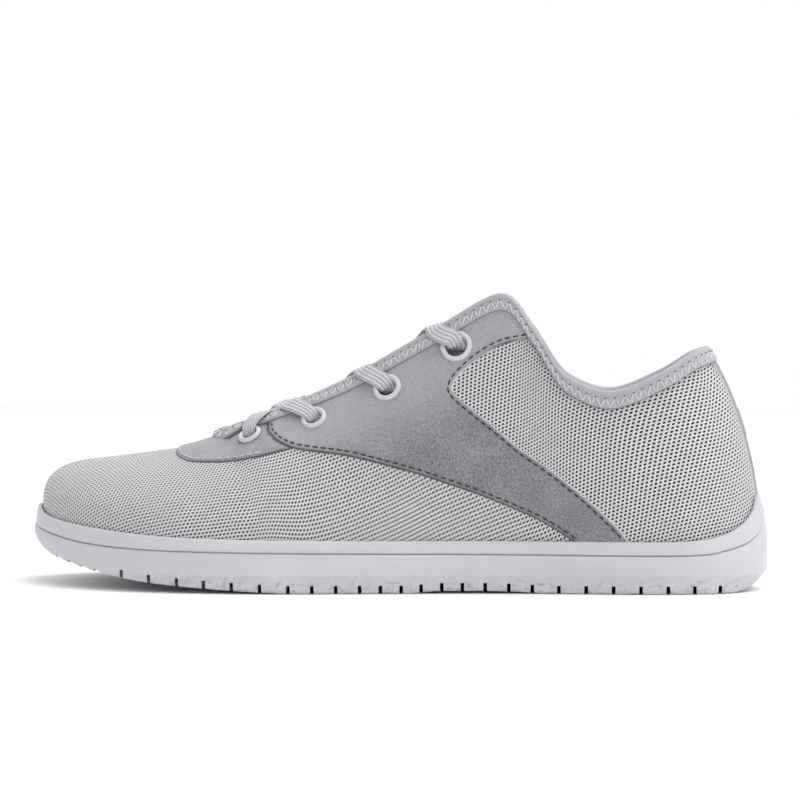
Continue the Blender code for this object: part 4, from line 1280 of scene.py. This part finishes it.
def edge_stitches(part, outline, side):
    """One row of stitches inside a suede edge: their middles and runs."""
    base = even_points(eased(part), 1.0 * MM)
    place, share = wall_at(base, side)
    points, normals = surface(place, share), surface_normal(place, share)
    run = unit(np.gradient(points, axis=0))
    inward = np.cross(normals, run)
    probe = outline_distance(points + 0.5 * MM * inward, outline)[0]
    inward *= np.sign(np.median(probe))
    inset = (points + STITCH_INSET * inward)[:, [0, 2]]
    place, share = wall_at(inset, side)
    turn = np.asarray(place)
    shown = (share < edge_share(turn, BINDING_WIDTH - 0.4 * MM)) & (share > rim_share(turn, above=0.6 * MM))
    miss = np.linalg.norm(surface(place, share)[:, [0, 2]] - inset, axis=1)
    shown &= miss < 0.3 * MM
    line = shell_point(place, share, SUEDE_HEIGHT - 0.05 * MM)[shown]
    middles = even_points(line, STITCH_PITCH)
    ahead = even_points(np.vstack((line[1:], 2 * line[-1:] - line[-2:-1])), STITCH_PITCH)[: len(middles)]
    middles = middles[: len(ahead)]
    return middles, unit(np.gradient(middles, axis=0)) * STITCH_LENGTH


def make_edge_stitches():
    """Dark stitches along the quarters' edges, pale ones along the saddle's."""
    made = []
    for name, finish, rows in (
        ("quarter_edge_stitches", DARK_THREAD_AND_HOLE_SHADE,
         ((QUARTER_FRONT + QUARTER_LOW, QUARTER_OUTLINE), (QUARTER_REAR, QUARTER_OUTLINE))),
        ("saddle_edge_stitches", PALE_THREAD, ((SADDLE_FRONT + SADDLE_LOW, SADDLE_OUTLINE),)),
    ):
        found = [
            edge_stitches(part, outline, side)
            for side in ("lateral", "medial") for part, outline in rows
        ]
        points, runs = (np.vstack(each) for each in zip(*found))
        made.append(sew(name, points, runs, EDGE_THREAD, finish))
    return made


# Binding


FRONT_RAISE = 1.2 * MM
ZIGZAG_THREAD = 0.25 * MM
NEEDLE_HOLE = 0.3 * MM


def make_binding():
    """Elastic tape folded over the whole throat and collar edge, round the throat's bowed front."""
    side = side_places(1.1 * MM)
    lateral = side[side >= BOW_FRONT - 1e-9]
    places = np.concatenate((lateral, AROUND - lateral[-2:0:-1]))
    near = from_toe(places)
    band = edge_share(places, BINDING_WIDTH)
    edge, normal = surface(places, 1.0), surface_normal(places, 1.0)
    run = unit(np.roll(edge, -1, axis=0) - np.roll(edge, 1, axis=0))
    into = unit(np.cross(normal, run))
    into *= np.sign(np.sum(into * upward(places, 1.0), axis=1) + 1e-9)[:, None]
    bowed = soft_step((BOW_BACK + 0.5 - near) / 0.8)[:, None]
    front = near < BOW_BACK
    centre = surface(np.array([BOW_BACK]), 1.0)[0] * np.array([1, 0, 1])
    into[front] *= np.sign(np.sum(into * (centre - edge), axis=1))[front][:, None]
    up = unit(mix(upward(places, 1.0), into, bowed))
    raised = FRONT_RAISE * soft_step((8.0 - near) / 0.9)[:, None] * normal

    def leg(share, lift):
        laid = shell_point(places, mix(band, 1.0, share), lift)
        straight = edge - (1 - share) * 0.92 * BINDING_WIDTH * into + lift * normal
        return mix(laid, straight, bowed) + share * raised

    low_out, out = SUEDE_HEIGHT + 0.15 * MM, SUEDE_HEIGHT + BINDING_THICKNESS * 0.8
    back = -UPPER_WALL - 0.5 * MM
    deep = back - BINDING_THICKNESS
    lines = [
        leg(0.0, -0.9 * MM), leg(0.0, low_out), leg(0.05, out - 0.3 * MM), leg(0.16, out),
        leg(0.45, out), leg(0.62, out + 0.08 * MM), leg(0.72, out - 0.1 * MM), leg(0.82, out + 0.12 * MM),
    ]
    height = BINDING_THICKNESS + 0.3 * MM
    middle, half = (out + deep) / 2, (out - deep) / 2
    for angle in np.radians((15, 35, 60, 90, 120, 145, 165)):
        fold = (height * np.sin(angle)) * up + (middle + half * np.cos(angle)) * normal
        lines.append(edge + fold + raised)
    lines += [leg(0.82, deep), leg(0.5, deep), leg(0.16, deep), leg(0.0, deep + 0.3 * MM), leg(0.0, back)]
    lines.append(leg(0.6, -UPPER_WALL * 0.5))
    grid = np.stack(lines, axis=1)
    rows, columns = grid.shape[:2]
    steps = np.linalg.norm(np.roll(edge, -1, axis=0) - edge, axis=1)
    along = np.concatenate(([0], np.cumsum(steps)[:-1])) / MM
    lay = tape_lay(along, lengths_along(grid[rows // 2]) / MM)
    faces = grid_faces(rows, columns, loop_rows=True, loop_columns=True)
    tape = piece_from("elastic_binding", grid.reshape(-1, 3), faces, (TAPE,), maps={"tape": lay})
    face_outward(tape.data)
    return tape, zigzag(leg(0.10, out + 0.12 * MM), leg(0.66, out + 0.16 * MM), along)


def zigzag(low, high, along):
    """Slanted stitches between two lines along the tape, as places and vectors, and their needle holes."""
    count = int(along[-1] / ZIGZAG_STEP) // 2 * 2
    at = np.linspace(0, along[-1], count + 1)
    lower, upper = points_at(at, along, low), points_at(at, along, high)
    ends = np.where((np.arange(count + 1) % 2 == 0)[:, None], lower, upper)
    return (ends[1:] + ends[:-1]) / 2, ends[1:] - ends[:-1], upper[1::2]


# Eyelets

RING_SEGMENTS = 56
HOLE_SEGMENTS = 20
HOLE_ROOM = 0.15 * MM


def eyelet_frame(place, distance):
    """Turn and place of an eyelet: its Z axis stands on the upper's outer face."""
    place = np.array([float(place)])
    share = edge_share(place, distance)
    point, normal = surface(place, share)[0], surface_normal(place, share)[0]
    turn = Vector(normal).to_track_quat("Z", "Y").to_matrix().to_4x4()
    return Matrix.Translation(Vector(point)) @ turn


def ring_points(profile, matrix, segments):
    angles = np.arange(segments) * 2 * np.pi / segments
    points = [(r * np.cos(a), r * np.sin(a), z) for a in angles for r, z in profile]
    turn = np.array(matrix)
    return np.array(points) @ turn[:3, :3].T + turn[:3, 3]


def make_eyelets():
    made = []
    for number, (place, distance, radius) in enumerate(EYELETS, 1):
        hole = radius - RING_BAND
        for side, turn in (("lateral", place), ("medial", AROUND - place)):
            seat = SUEDE_HEIGHT - 0.1 * MM
            crest = seat + FLANGE_THICKNESS
            middle, half = (radius + hole) / 2, (radius - hole) / 2
            profile = [
                (middle + half * math.cos(a), seat + (crest - seat) * math.sin(a))
                for a in np.linspace(0, math.pi, 11)
            ]
            foot = -UPPER_WALL - 0.3 * MM
            profile += [(hole, foot), (hole + EYELET_WALL, foot), (hole + EYELET_WALL, seat)]
            matrix = eyelet_frame(turn, distance)
            points = ring_points(profile, matrix, RING_SEGMENTS)
            faces = grid_faces(RING_SEGMENTS, len(profile), loop_rows=True, loop_columns=True)
            ring = piece_from(f"eyelet_ring_{side}_{number}", points, faces, (RING,))
            face_outward(ring.data)
            sharpen(ring, 50)
            made.append((ring, f"eyelet_{side}_{number}"))
    return made


def hole_cutter():
    """Plugs through the upper where the eyelets' barrels go."""
    points, faces = [], []
    for place, distance, outside in EYELETS:
        for turn in (place, AROUND - place):
            radius = outside - RING_BAND + EYELET_WALL + HOLE_ROOM
            ends = [(radius, -5 * MM), (radius, 5 * MM)]
            start = len(points)
            points += list(ring_points(ends, eyelet_frame(turn, distance), HOLE_SEGMENTS))
            faces += [[start + k for k in face] for face in grid_faces(HOLE_SEGMENTS, 2, loop_rows=True)]
            faces.append([start + 2 * k for k in range(HOLE_SEGMENTS)])
            faces.append([start + 2 * k + 1 for k in reversed(range(HOLE_SEGMENTS))])
    cutter = piece_from("eyelet_holes", points, faces, ())
    face_outward(cutter.data)
    return cutter


# Lace

# How far along the shoe a run meets the throat's edge from its eyelet, toward the heel
FIRST_SHIFT = 8.5 * MM
UNDER_SHIFT = 8.0 * MM
FORWARD_SHIFT = -7.5 * MM


def edge_place(x):
    """Place along the throat's outer edge with this length coordinate."""
    near = np.linspace(THROAT_START, TIP_ROW, 400)
    return float(np.interp(x, loop_value("top_x", near), near))


def on_side(place, side):
    return np.array([place if side == "lateral" else AROUND - place])


def wall_station(place, side, distance, lift, width):
    """Point over the wall at a distance from the throat's edge, with the lace's width there."""
    turn = on_side(place, side)
    share = edge_share(turn, distance)
    return shell_point(turn, share, lift)[0], surface_normal(turn, share)[0], width


def edge_station(place, side, lift_up, lift_out, width):
    turn = on_side(place, side)
    normal, up = surface_normal(turn, 1.0)[0], upward(turn, 1.0)[0]
    blend = normal + 0.9 * up if lift_up > 0 else normal
    return surface(turn, 1.0)[0] + lift_up * up + lift_out * normal, blend / np.linalg.norm(blend), width


def from_hole(number, side, shift):
    """Stations from inside an eyelet up over the tape, meeting the edge at a shift along the shoe."""
    place, distance, radius = EYELETS[number]
    hole = radius - RING_BAND
    edge_x = float(loop_value("top_x", place))
    over = edge_place(edge_x + shift)
    partway = mix(place, over, 0.45)
    narrow = min(1.75 * hole, LACE_WIDTH)
    lift = SUEDE_HEIGHT + BINDING_THICKNESS + LACE_THICKNESS / 2
    widening = mix(narrow, LACE_WIDTH, 0.35)
    return [
        wall_station(place, side, distance - 0.1 * hole, -3.2 * MM, narrow),
        wall_station(place, side, distance - 0.25 * hole, 0.4 * MM, narrow),
        wall_station(mix(place, over, 0.10), side, distance - 0.75 * hole, 2.3 * MM, widening),
        wall_station(partway, side, mix(distance, 0, 0.52), lift + 0.35 * MM, mix(narrow, LACE_WIDTH, 0.8)),
        wall_station(mix(place, over, 0.8), side, 1.6 * MM, lift + 0.25 * MM, LACE_WIDTH),
        edge_station(over, side, 2.3 * MM, 0.6 * MM, LACE_WIDTH),
    ]


def from_under(number, side, shift):
    """Stations from beneath the throat's edge, just behind an eyelet, out over the tongue."""
    place, distance, _ = EYELETS[number]
    edge_x = float(loop_value("top_x", place))
    out = edge_place(edge_x + shift)
    low = -UPPER_WALL - 0.5 * MM - BINDING_THICKNESS - LACE_THICKNESS / 2 - 0.25 * MM
    return [
        wall_station(mix(place, out, 0.6), side, distance, low, LACE_WIDTH),
        wall_station(out, side, 3.0 * MM, low, LACE_WIDTH),
        edge_station(out, side, -0.2 * MM, low, LACE_WIDTH),
    ]


def lace_path(first, second, middle_lift):
    """Stations of one run, the middle of the throat between its two ends."""
    (a, na, _), (b, nb, _) = first[-1], second[-1]
    mid = (a + b) / 2 + np.array([0, 0, middle_lift])
    level = unit(na + nb)
    return first + [(mid, level, LACE_WIDTH)] + second[::-1]


def sweep_tape(stations, each=9):
    """Tape with rounded edges along stations, its width lying square to the normals."""
    points = np.array([p for p, _, _ in stations])
    normals = np.array([n for _, n, _ in stations])
    widths = np.array([w for _, _, w in stations])
    steps = np.concatenate(([0], np.cumsum(np.sqrt(np.linalg.norm(np.diff(points, axis=0), axis=1)))))
    at = mix(steps[:-1, None], steps[1:, None], np.arange(each)[None, :] / each).ravel()
    at = np.append(at, steps[-1])

    def through(values):
        slope = np.gradient(values, steps, axis=0)
        k = np.clip(np.searchsorted(steps, at, side="right") - 1, 0, len(steps) - 2)
        span = (steps[k + 1] - steps[k])[:, None]
        t = ((at - steps[k]) / span[:, 0])[:, None]
        return cubic(values[k], values[k + 1], span * slope[k], span * slope[k + 1], t)

    line, lift = through(points), unit(through(normals))
    width = np.interp(at, steps, widths)[:, None]
    run = unit(np.gradient(line, axis=0))
    across = unit(np.cross(run, lift))
    lift = np.cross(across, run)
    half = LACE_THICKNESS / 2
    ring, lay = [], []
    for a in np.linspace(0, 2 * np.pi, 20, endpoint=False):
        side = math.copysign(abs(math.cos(a)) ** 0.45, math.cos(a))
        top = math.copysign(abs(math.sin(a)) ** 0.8, math.sin(a))
        ring.append(line + across * (width / 2) * side + lift * half * top * 0.92)
        lay.append(side * LACE_WIDTH / 2 / MM)
    grid = np.stack(ring, axis=1)
    rows, columns = grid.shape[:2]
    flat = tape_lay(lengths_along(line) / MM, np.array(lay))
    faces = [list(f) for f in grid_faces(rows, columns, loop_columns=True)]
    faces += [list(range(columns)), [(rows - 1) * columns + k for k in reversed(range(columns))]]
    return grid.reshape(-1, 3), faces, flat


def make_lace():
    """The lace's crossings: two runs on top in front, then runs from under one edge over the other."""
    other = {"lateral": "medial", "medial": "lateral"}
    place, distance, _ = EYELETS[0]
    hidden = [
        wall_station(place, side, distance * share, -4.3 * MM, 4.5 * MM)
        for side, share in (("lateral", 1.0), ("lateral", 0.3), ("medial", 0.3), ("medial", 1.0))
    ]
    tapes = [hidden]
    for side, lift in (("medial", 0.2 * MM), ("lateral", 1.9 * MM)):
        start = from_hole(0, other[side], FIRST_SHIFT)
        tapes.append(lace_path(start, from_hole(1, side, FORWARD_SHIFT), lift))
    for number in (1, 2):
        for side, lift in (("medial", -0.4 * MM), ("lateral", 1.3 * MM)):
            start = from_under(number, other[side], UNDER_SHIFT)
            tapes.append(lace_path(start, from_hole(number + 1, side, FORWARD_SHIFT), lift))
    points, faces, lay = [], [], []
    for stations in tapes:
        grid, quads, flat = sweep_tape(stations)
        start = len(points)
        points += list(grid)
        faces += [[start + k for k in face] for face in quads]
        lay += list(flat)
    lace = piece_from("flat_lace", points, faces, (LACE,), maps={"tape": np.array(lay)})
    face_outward(lace.data)
    return lace


# Tongue and insole


def make_tongue():
    """Padded tongue under the throat, crowned across, with a rounded free edge."""
    side = side_places(2.2 * MM)
    chosen = side[(side > THROAT_START - 0.6) & (side < TIP_ROW - 0.15)]
    under = UPPER_WALL + 0.5 * MM + BINDING_THICKNESS + LACE_THICKNESS + 0.5 * MM
    deep = np.where(chosen < THROAT_START + 1e-6, 12 * MM, 14 * MM)
    low = edge_share(chosen, deep)
    lateral = [shell_point(chosen, mix(low, 1.0, t), -under) for t in np.linspace(0, 1, 9)]
    medial = [shell_point(AROUND - chosen, mix(low, 1.0, t), -under) for t in np.linspace(0, 1, 9)]
    gap = np.linalg.norm(lateral[-1] - medial[-1], axis=1)
    crown = []
    for t in np.linspace(0, 1, 13)[1:-1]:
        lift = 2.0 * MM * np.clip(gap / COLLAR_WIDTH * 3, 0, 1) * 4 * t * (1 - t)
        crown.append(mix(lateral[-1], medial[-1], t) + lift[:, None] * np.array([0, 0, 1.0]))
    grid = np.stack(lateral + crown + medial[::-1], axis=1)
    faces = grid_faces(*grid.shape[:2])
    tongue = piece_from("padded_tongue", grid.reshape(-1, 3), faces, (LINING,), weld=0.00001)
    face_up(tongue)
    return thicken(tongue, 2.6 * MM, rounding=0.9 * MM)


def face_up(piece):
    """Turn an open sheet's faces so that they look up on the whole."""
    total = sum(face.normal.z * face.area for face in piece.data.polygons)
    if total < 0:
        piece.data.flip_normals()


def make_insole():
    """Felt-covered insole, its edge rounded."""
    places = side_places(2.2 * MM)
    inset = UPPER_WALL + 0.8 * MM
    lateral = shell_point(places, 0.0, -inset)
    medial = shell_point(np.mod(AROUND - places, AROUND), 0.0, -inset)
    lines = [mix(lateral, medial, t) for t in np.linspace(0, 1, 15)]
    grid = np.stack(lines, axis=1)
    grid[:, :, 2] = floor_height(grid[:, :, 0]) + 0.4 * MM
    faces = grid_faces(*grid.shape[:2])
    insole = piece_from("felted_insole", grid.reshape(-1, 3), faces, (FOOTBED,), weld=0.00001)
    face_up(insole)
    insole.data.flip_normals()
    thicken(insole, 3.0 * MM, rounding=0.8 * MM)
    face_outward(insole.data)
    return insole


# Making and riding


def belongs(piece, slot, *nodes):
    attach(piece, "root")
    if nodes:
        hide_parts(*nodes)


knit = make_knit_upper()
cut_out(knit, hole_cutter())
belongs(knit, "knit", "upper")
belongs(make_sole(), "rubber", "outsole")
for quarter in make_suede():
    belongs(quarter, "suede", quarter.name.replace("suede_quarter", "quarter_overlay"))
belongs(make_saddle(), "suede", "throat_saddle")
belongs(make_backstay(), "suede", "backstay")
belongs(make_heel_bar(), "suede")
tape, (stitch_places, stitch_runs, needle_holes) = make_binding()
belongs(tape, "elastic", "binding")
belongs(sew("binding_stitches", stitch_places, stitch_runs, ZIGZAG_THREAD, PALE_THREAD), "elastic")
# Dark beads at the needle holes: painted shade in the holes
hole_runs = np.tile((0.0, 0.0, 0.5 * MM), (len(needle_holes), 1))
belongs(sew("binding_needle_holes", needle_holes, hole_runs, NEEDLE_HOLE, DARK_THREAD_AND_HOLE_SHADE), "elastic")
for stitches in make_edge_stitches():
    belongs(stitches, "suede")
for ring, node in make_eyelets():
    belongs(ring, "eyelet", node)
belongs(make_lace(), "lace", "lace_row_1", "lace_row_2", "lace_row_3")
tongue = make_tongue()
belongs(tongue, "lining", "tongue")
belongs(make_insole(), "foam", "insole")

# Floor, light and camera

FLOOR = plain_finish("white_paper_sweep", "ffffff", 0.9, 0.01, 0.0)
FLOOR_REACH = 2.2
corners = [(x * FLOOR_REACH, y * FLOOR_REACH, 0) for x, y in ((-1, -1), (1, -1), (1, 1), (-1, 1))]
floor = piece_from("floor", corners, [[0, 1, 2, 3]], (FLOOR,))


def soft_light(name, place, aim, size, power):
    lamp = bpy.data.lights.new(name, "AREA")
    lamp.shape = "RECTANGLE"
    lamp.size, lamp.size_y = size
    lamp.energy = power
    made = bpy.data.objects.new(name, lamp)
    made.location = place
    made.rotation_euler = (Vector(aim) - Vector(place)).to_track_quat("-Z", "Y").to_euler()
    bpy.context.scene.collection.objects.link(made)


soft_light("overhead_softbox", (0.4, 0.3, 1.6), (0, 0, 0), (1.6, 1.2), 15)
soft_light("front_softbox", (0.7, -1.7, 1.1), (0, 0, 0.03), (1.2, 1.0), 3)
soft_light("side_softbox", (1.5, -0.7, 0.9), (0.05, 0, 0.04), (0.8, 0.8), 2)

world = bpy.data.worlds.new("white_studio")
world.use_nodes = True
# White behind the shoe and overhead, dimmer toward the room in front of it and at the toe's end
studio = world.node_tree
way = add(studio, "SeparateXYZ", {0: add(studio, "TexCoord").outputs["Generated"]}).outputs
lifted = add(studio, "Math", {0: way[2], 1: 0.9, 2: way[1]}, operation="MULTIPLY_ADD")
heelward = add(studio, "Math", {0: way[0], 1: 0.65, 2: lifted}, operation="MULTIPLY_ADD")
share = add(studio, "MapRange", {0: heelward, 1: -0.5, 2: 0.55, 3: 0.5, 4: 1.0})
studio.links.new(share.outputs[0], studio.nodes["Background"].inputs[1])
studio.nodes["Background"].inputs[0].default_value = (1, 1, 1, 1)
bpy.context.scene.world = world
bpy.context.scene.view_settings.view_transform = "Standard"

# The photograph's frame: distance and height of the lens, turned a little toward the heel
CAMERA_DISTANCE = 1.2
CAMERA_HEIGHT = 0.1
CAMERA_YAW = math.radians(3.5)
CAMERA_ROLL = math.radians(0.3)
FOCAL_PIXELS = 3270.59
HORIZON_ROW = 312.25
ORIGIN_COLUMN = 396.2
FRAME = 800

lens = bpy.data.cameras.new("lens")
lens.sensor_width = 36
lens.lens = 36 * FOCAL_PIXELS / FRAME
lens.clip_end = 100
camera = bpy.data.objects.new("camera", lens)
turn = CAMERA_YAW - math.atan((FRAME / 2 - ORIGIN_COLUMN) / FOCAL_PIXELS)
pitch = math.atan((FRAME / 2 - HORIZON_ROW) / FOCAL_PIXELS)
aside, ahead = CAMERA_DISTANCE * math.sin(CAMERA_YAW), CAMERA_DISTANCE * math.cos(CAMERA_YAW)
camera.matrix_world = (
    Matrix.Translation((aside, -ahead, CAMERA_HEIGHT))
    @ Matrix.Rotation(turn, 4, "Z")
    @ Matrix.Rotation(math.pi / 2 - pitch, 4, "X")
    @ Matrix.Rotation(CAMERA_ROLL, 4, "Z")
)
bpy.context.scene.collection.objects.link(camera)
bpy.context.scene.camera = camera

bpy.context.view_layer.update()
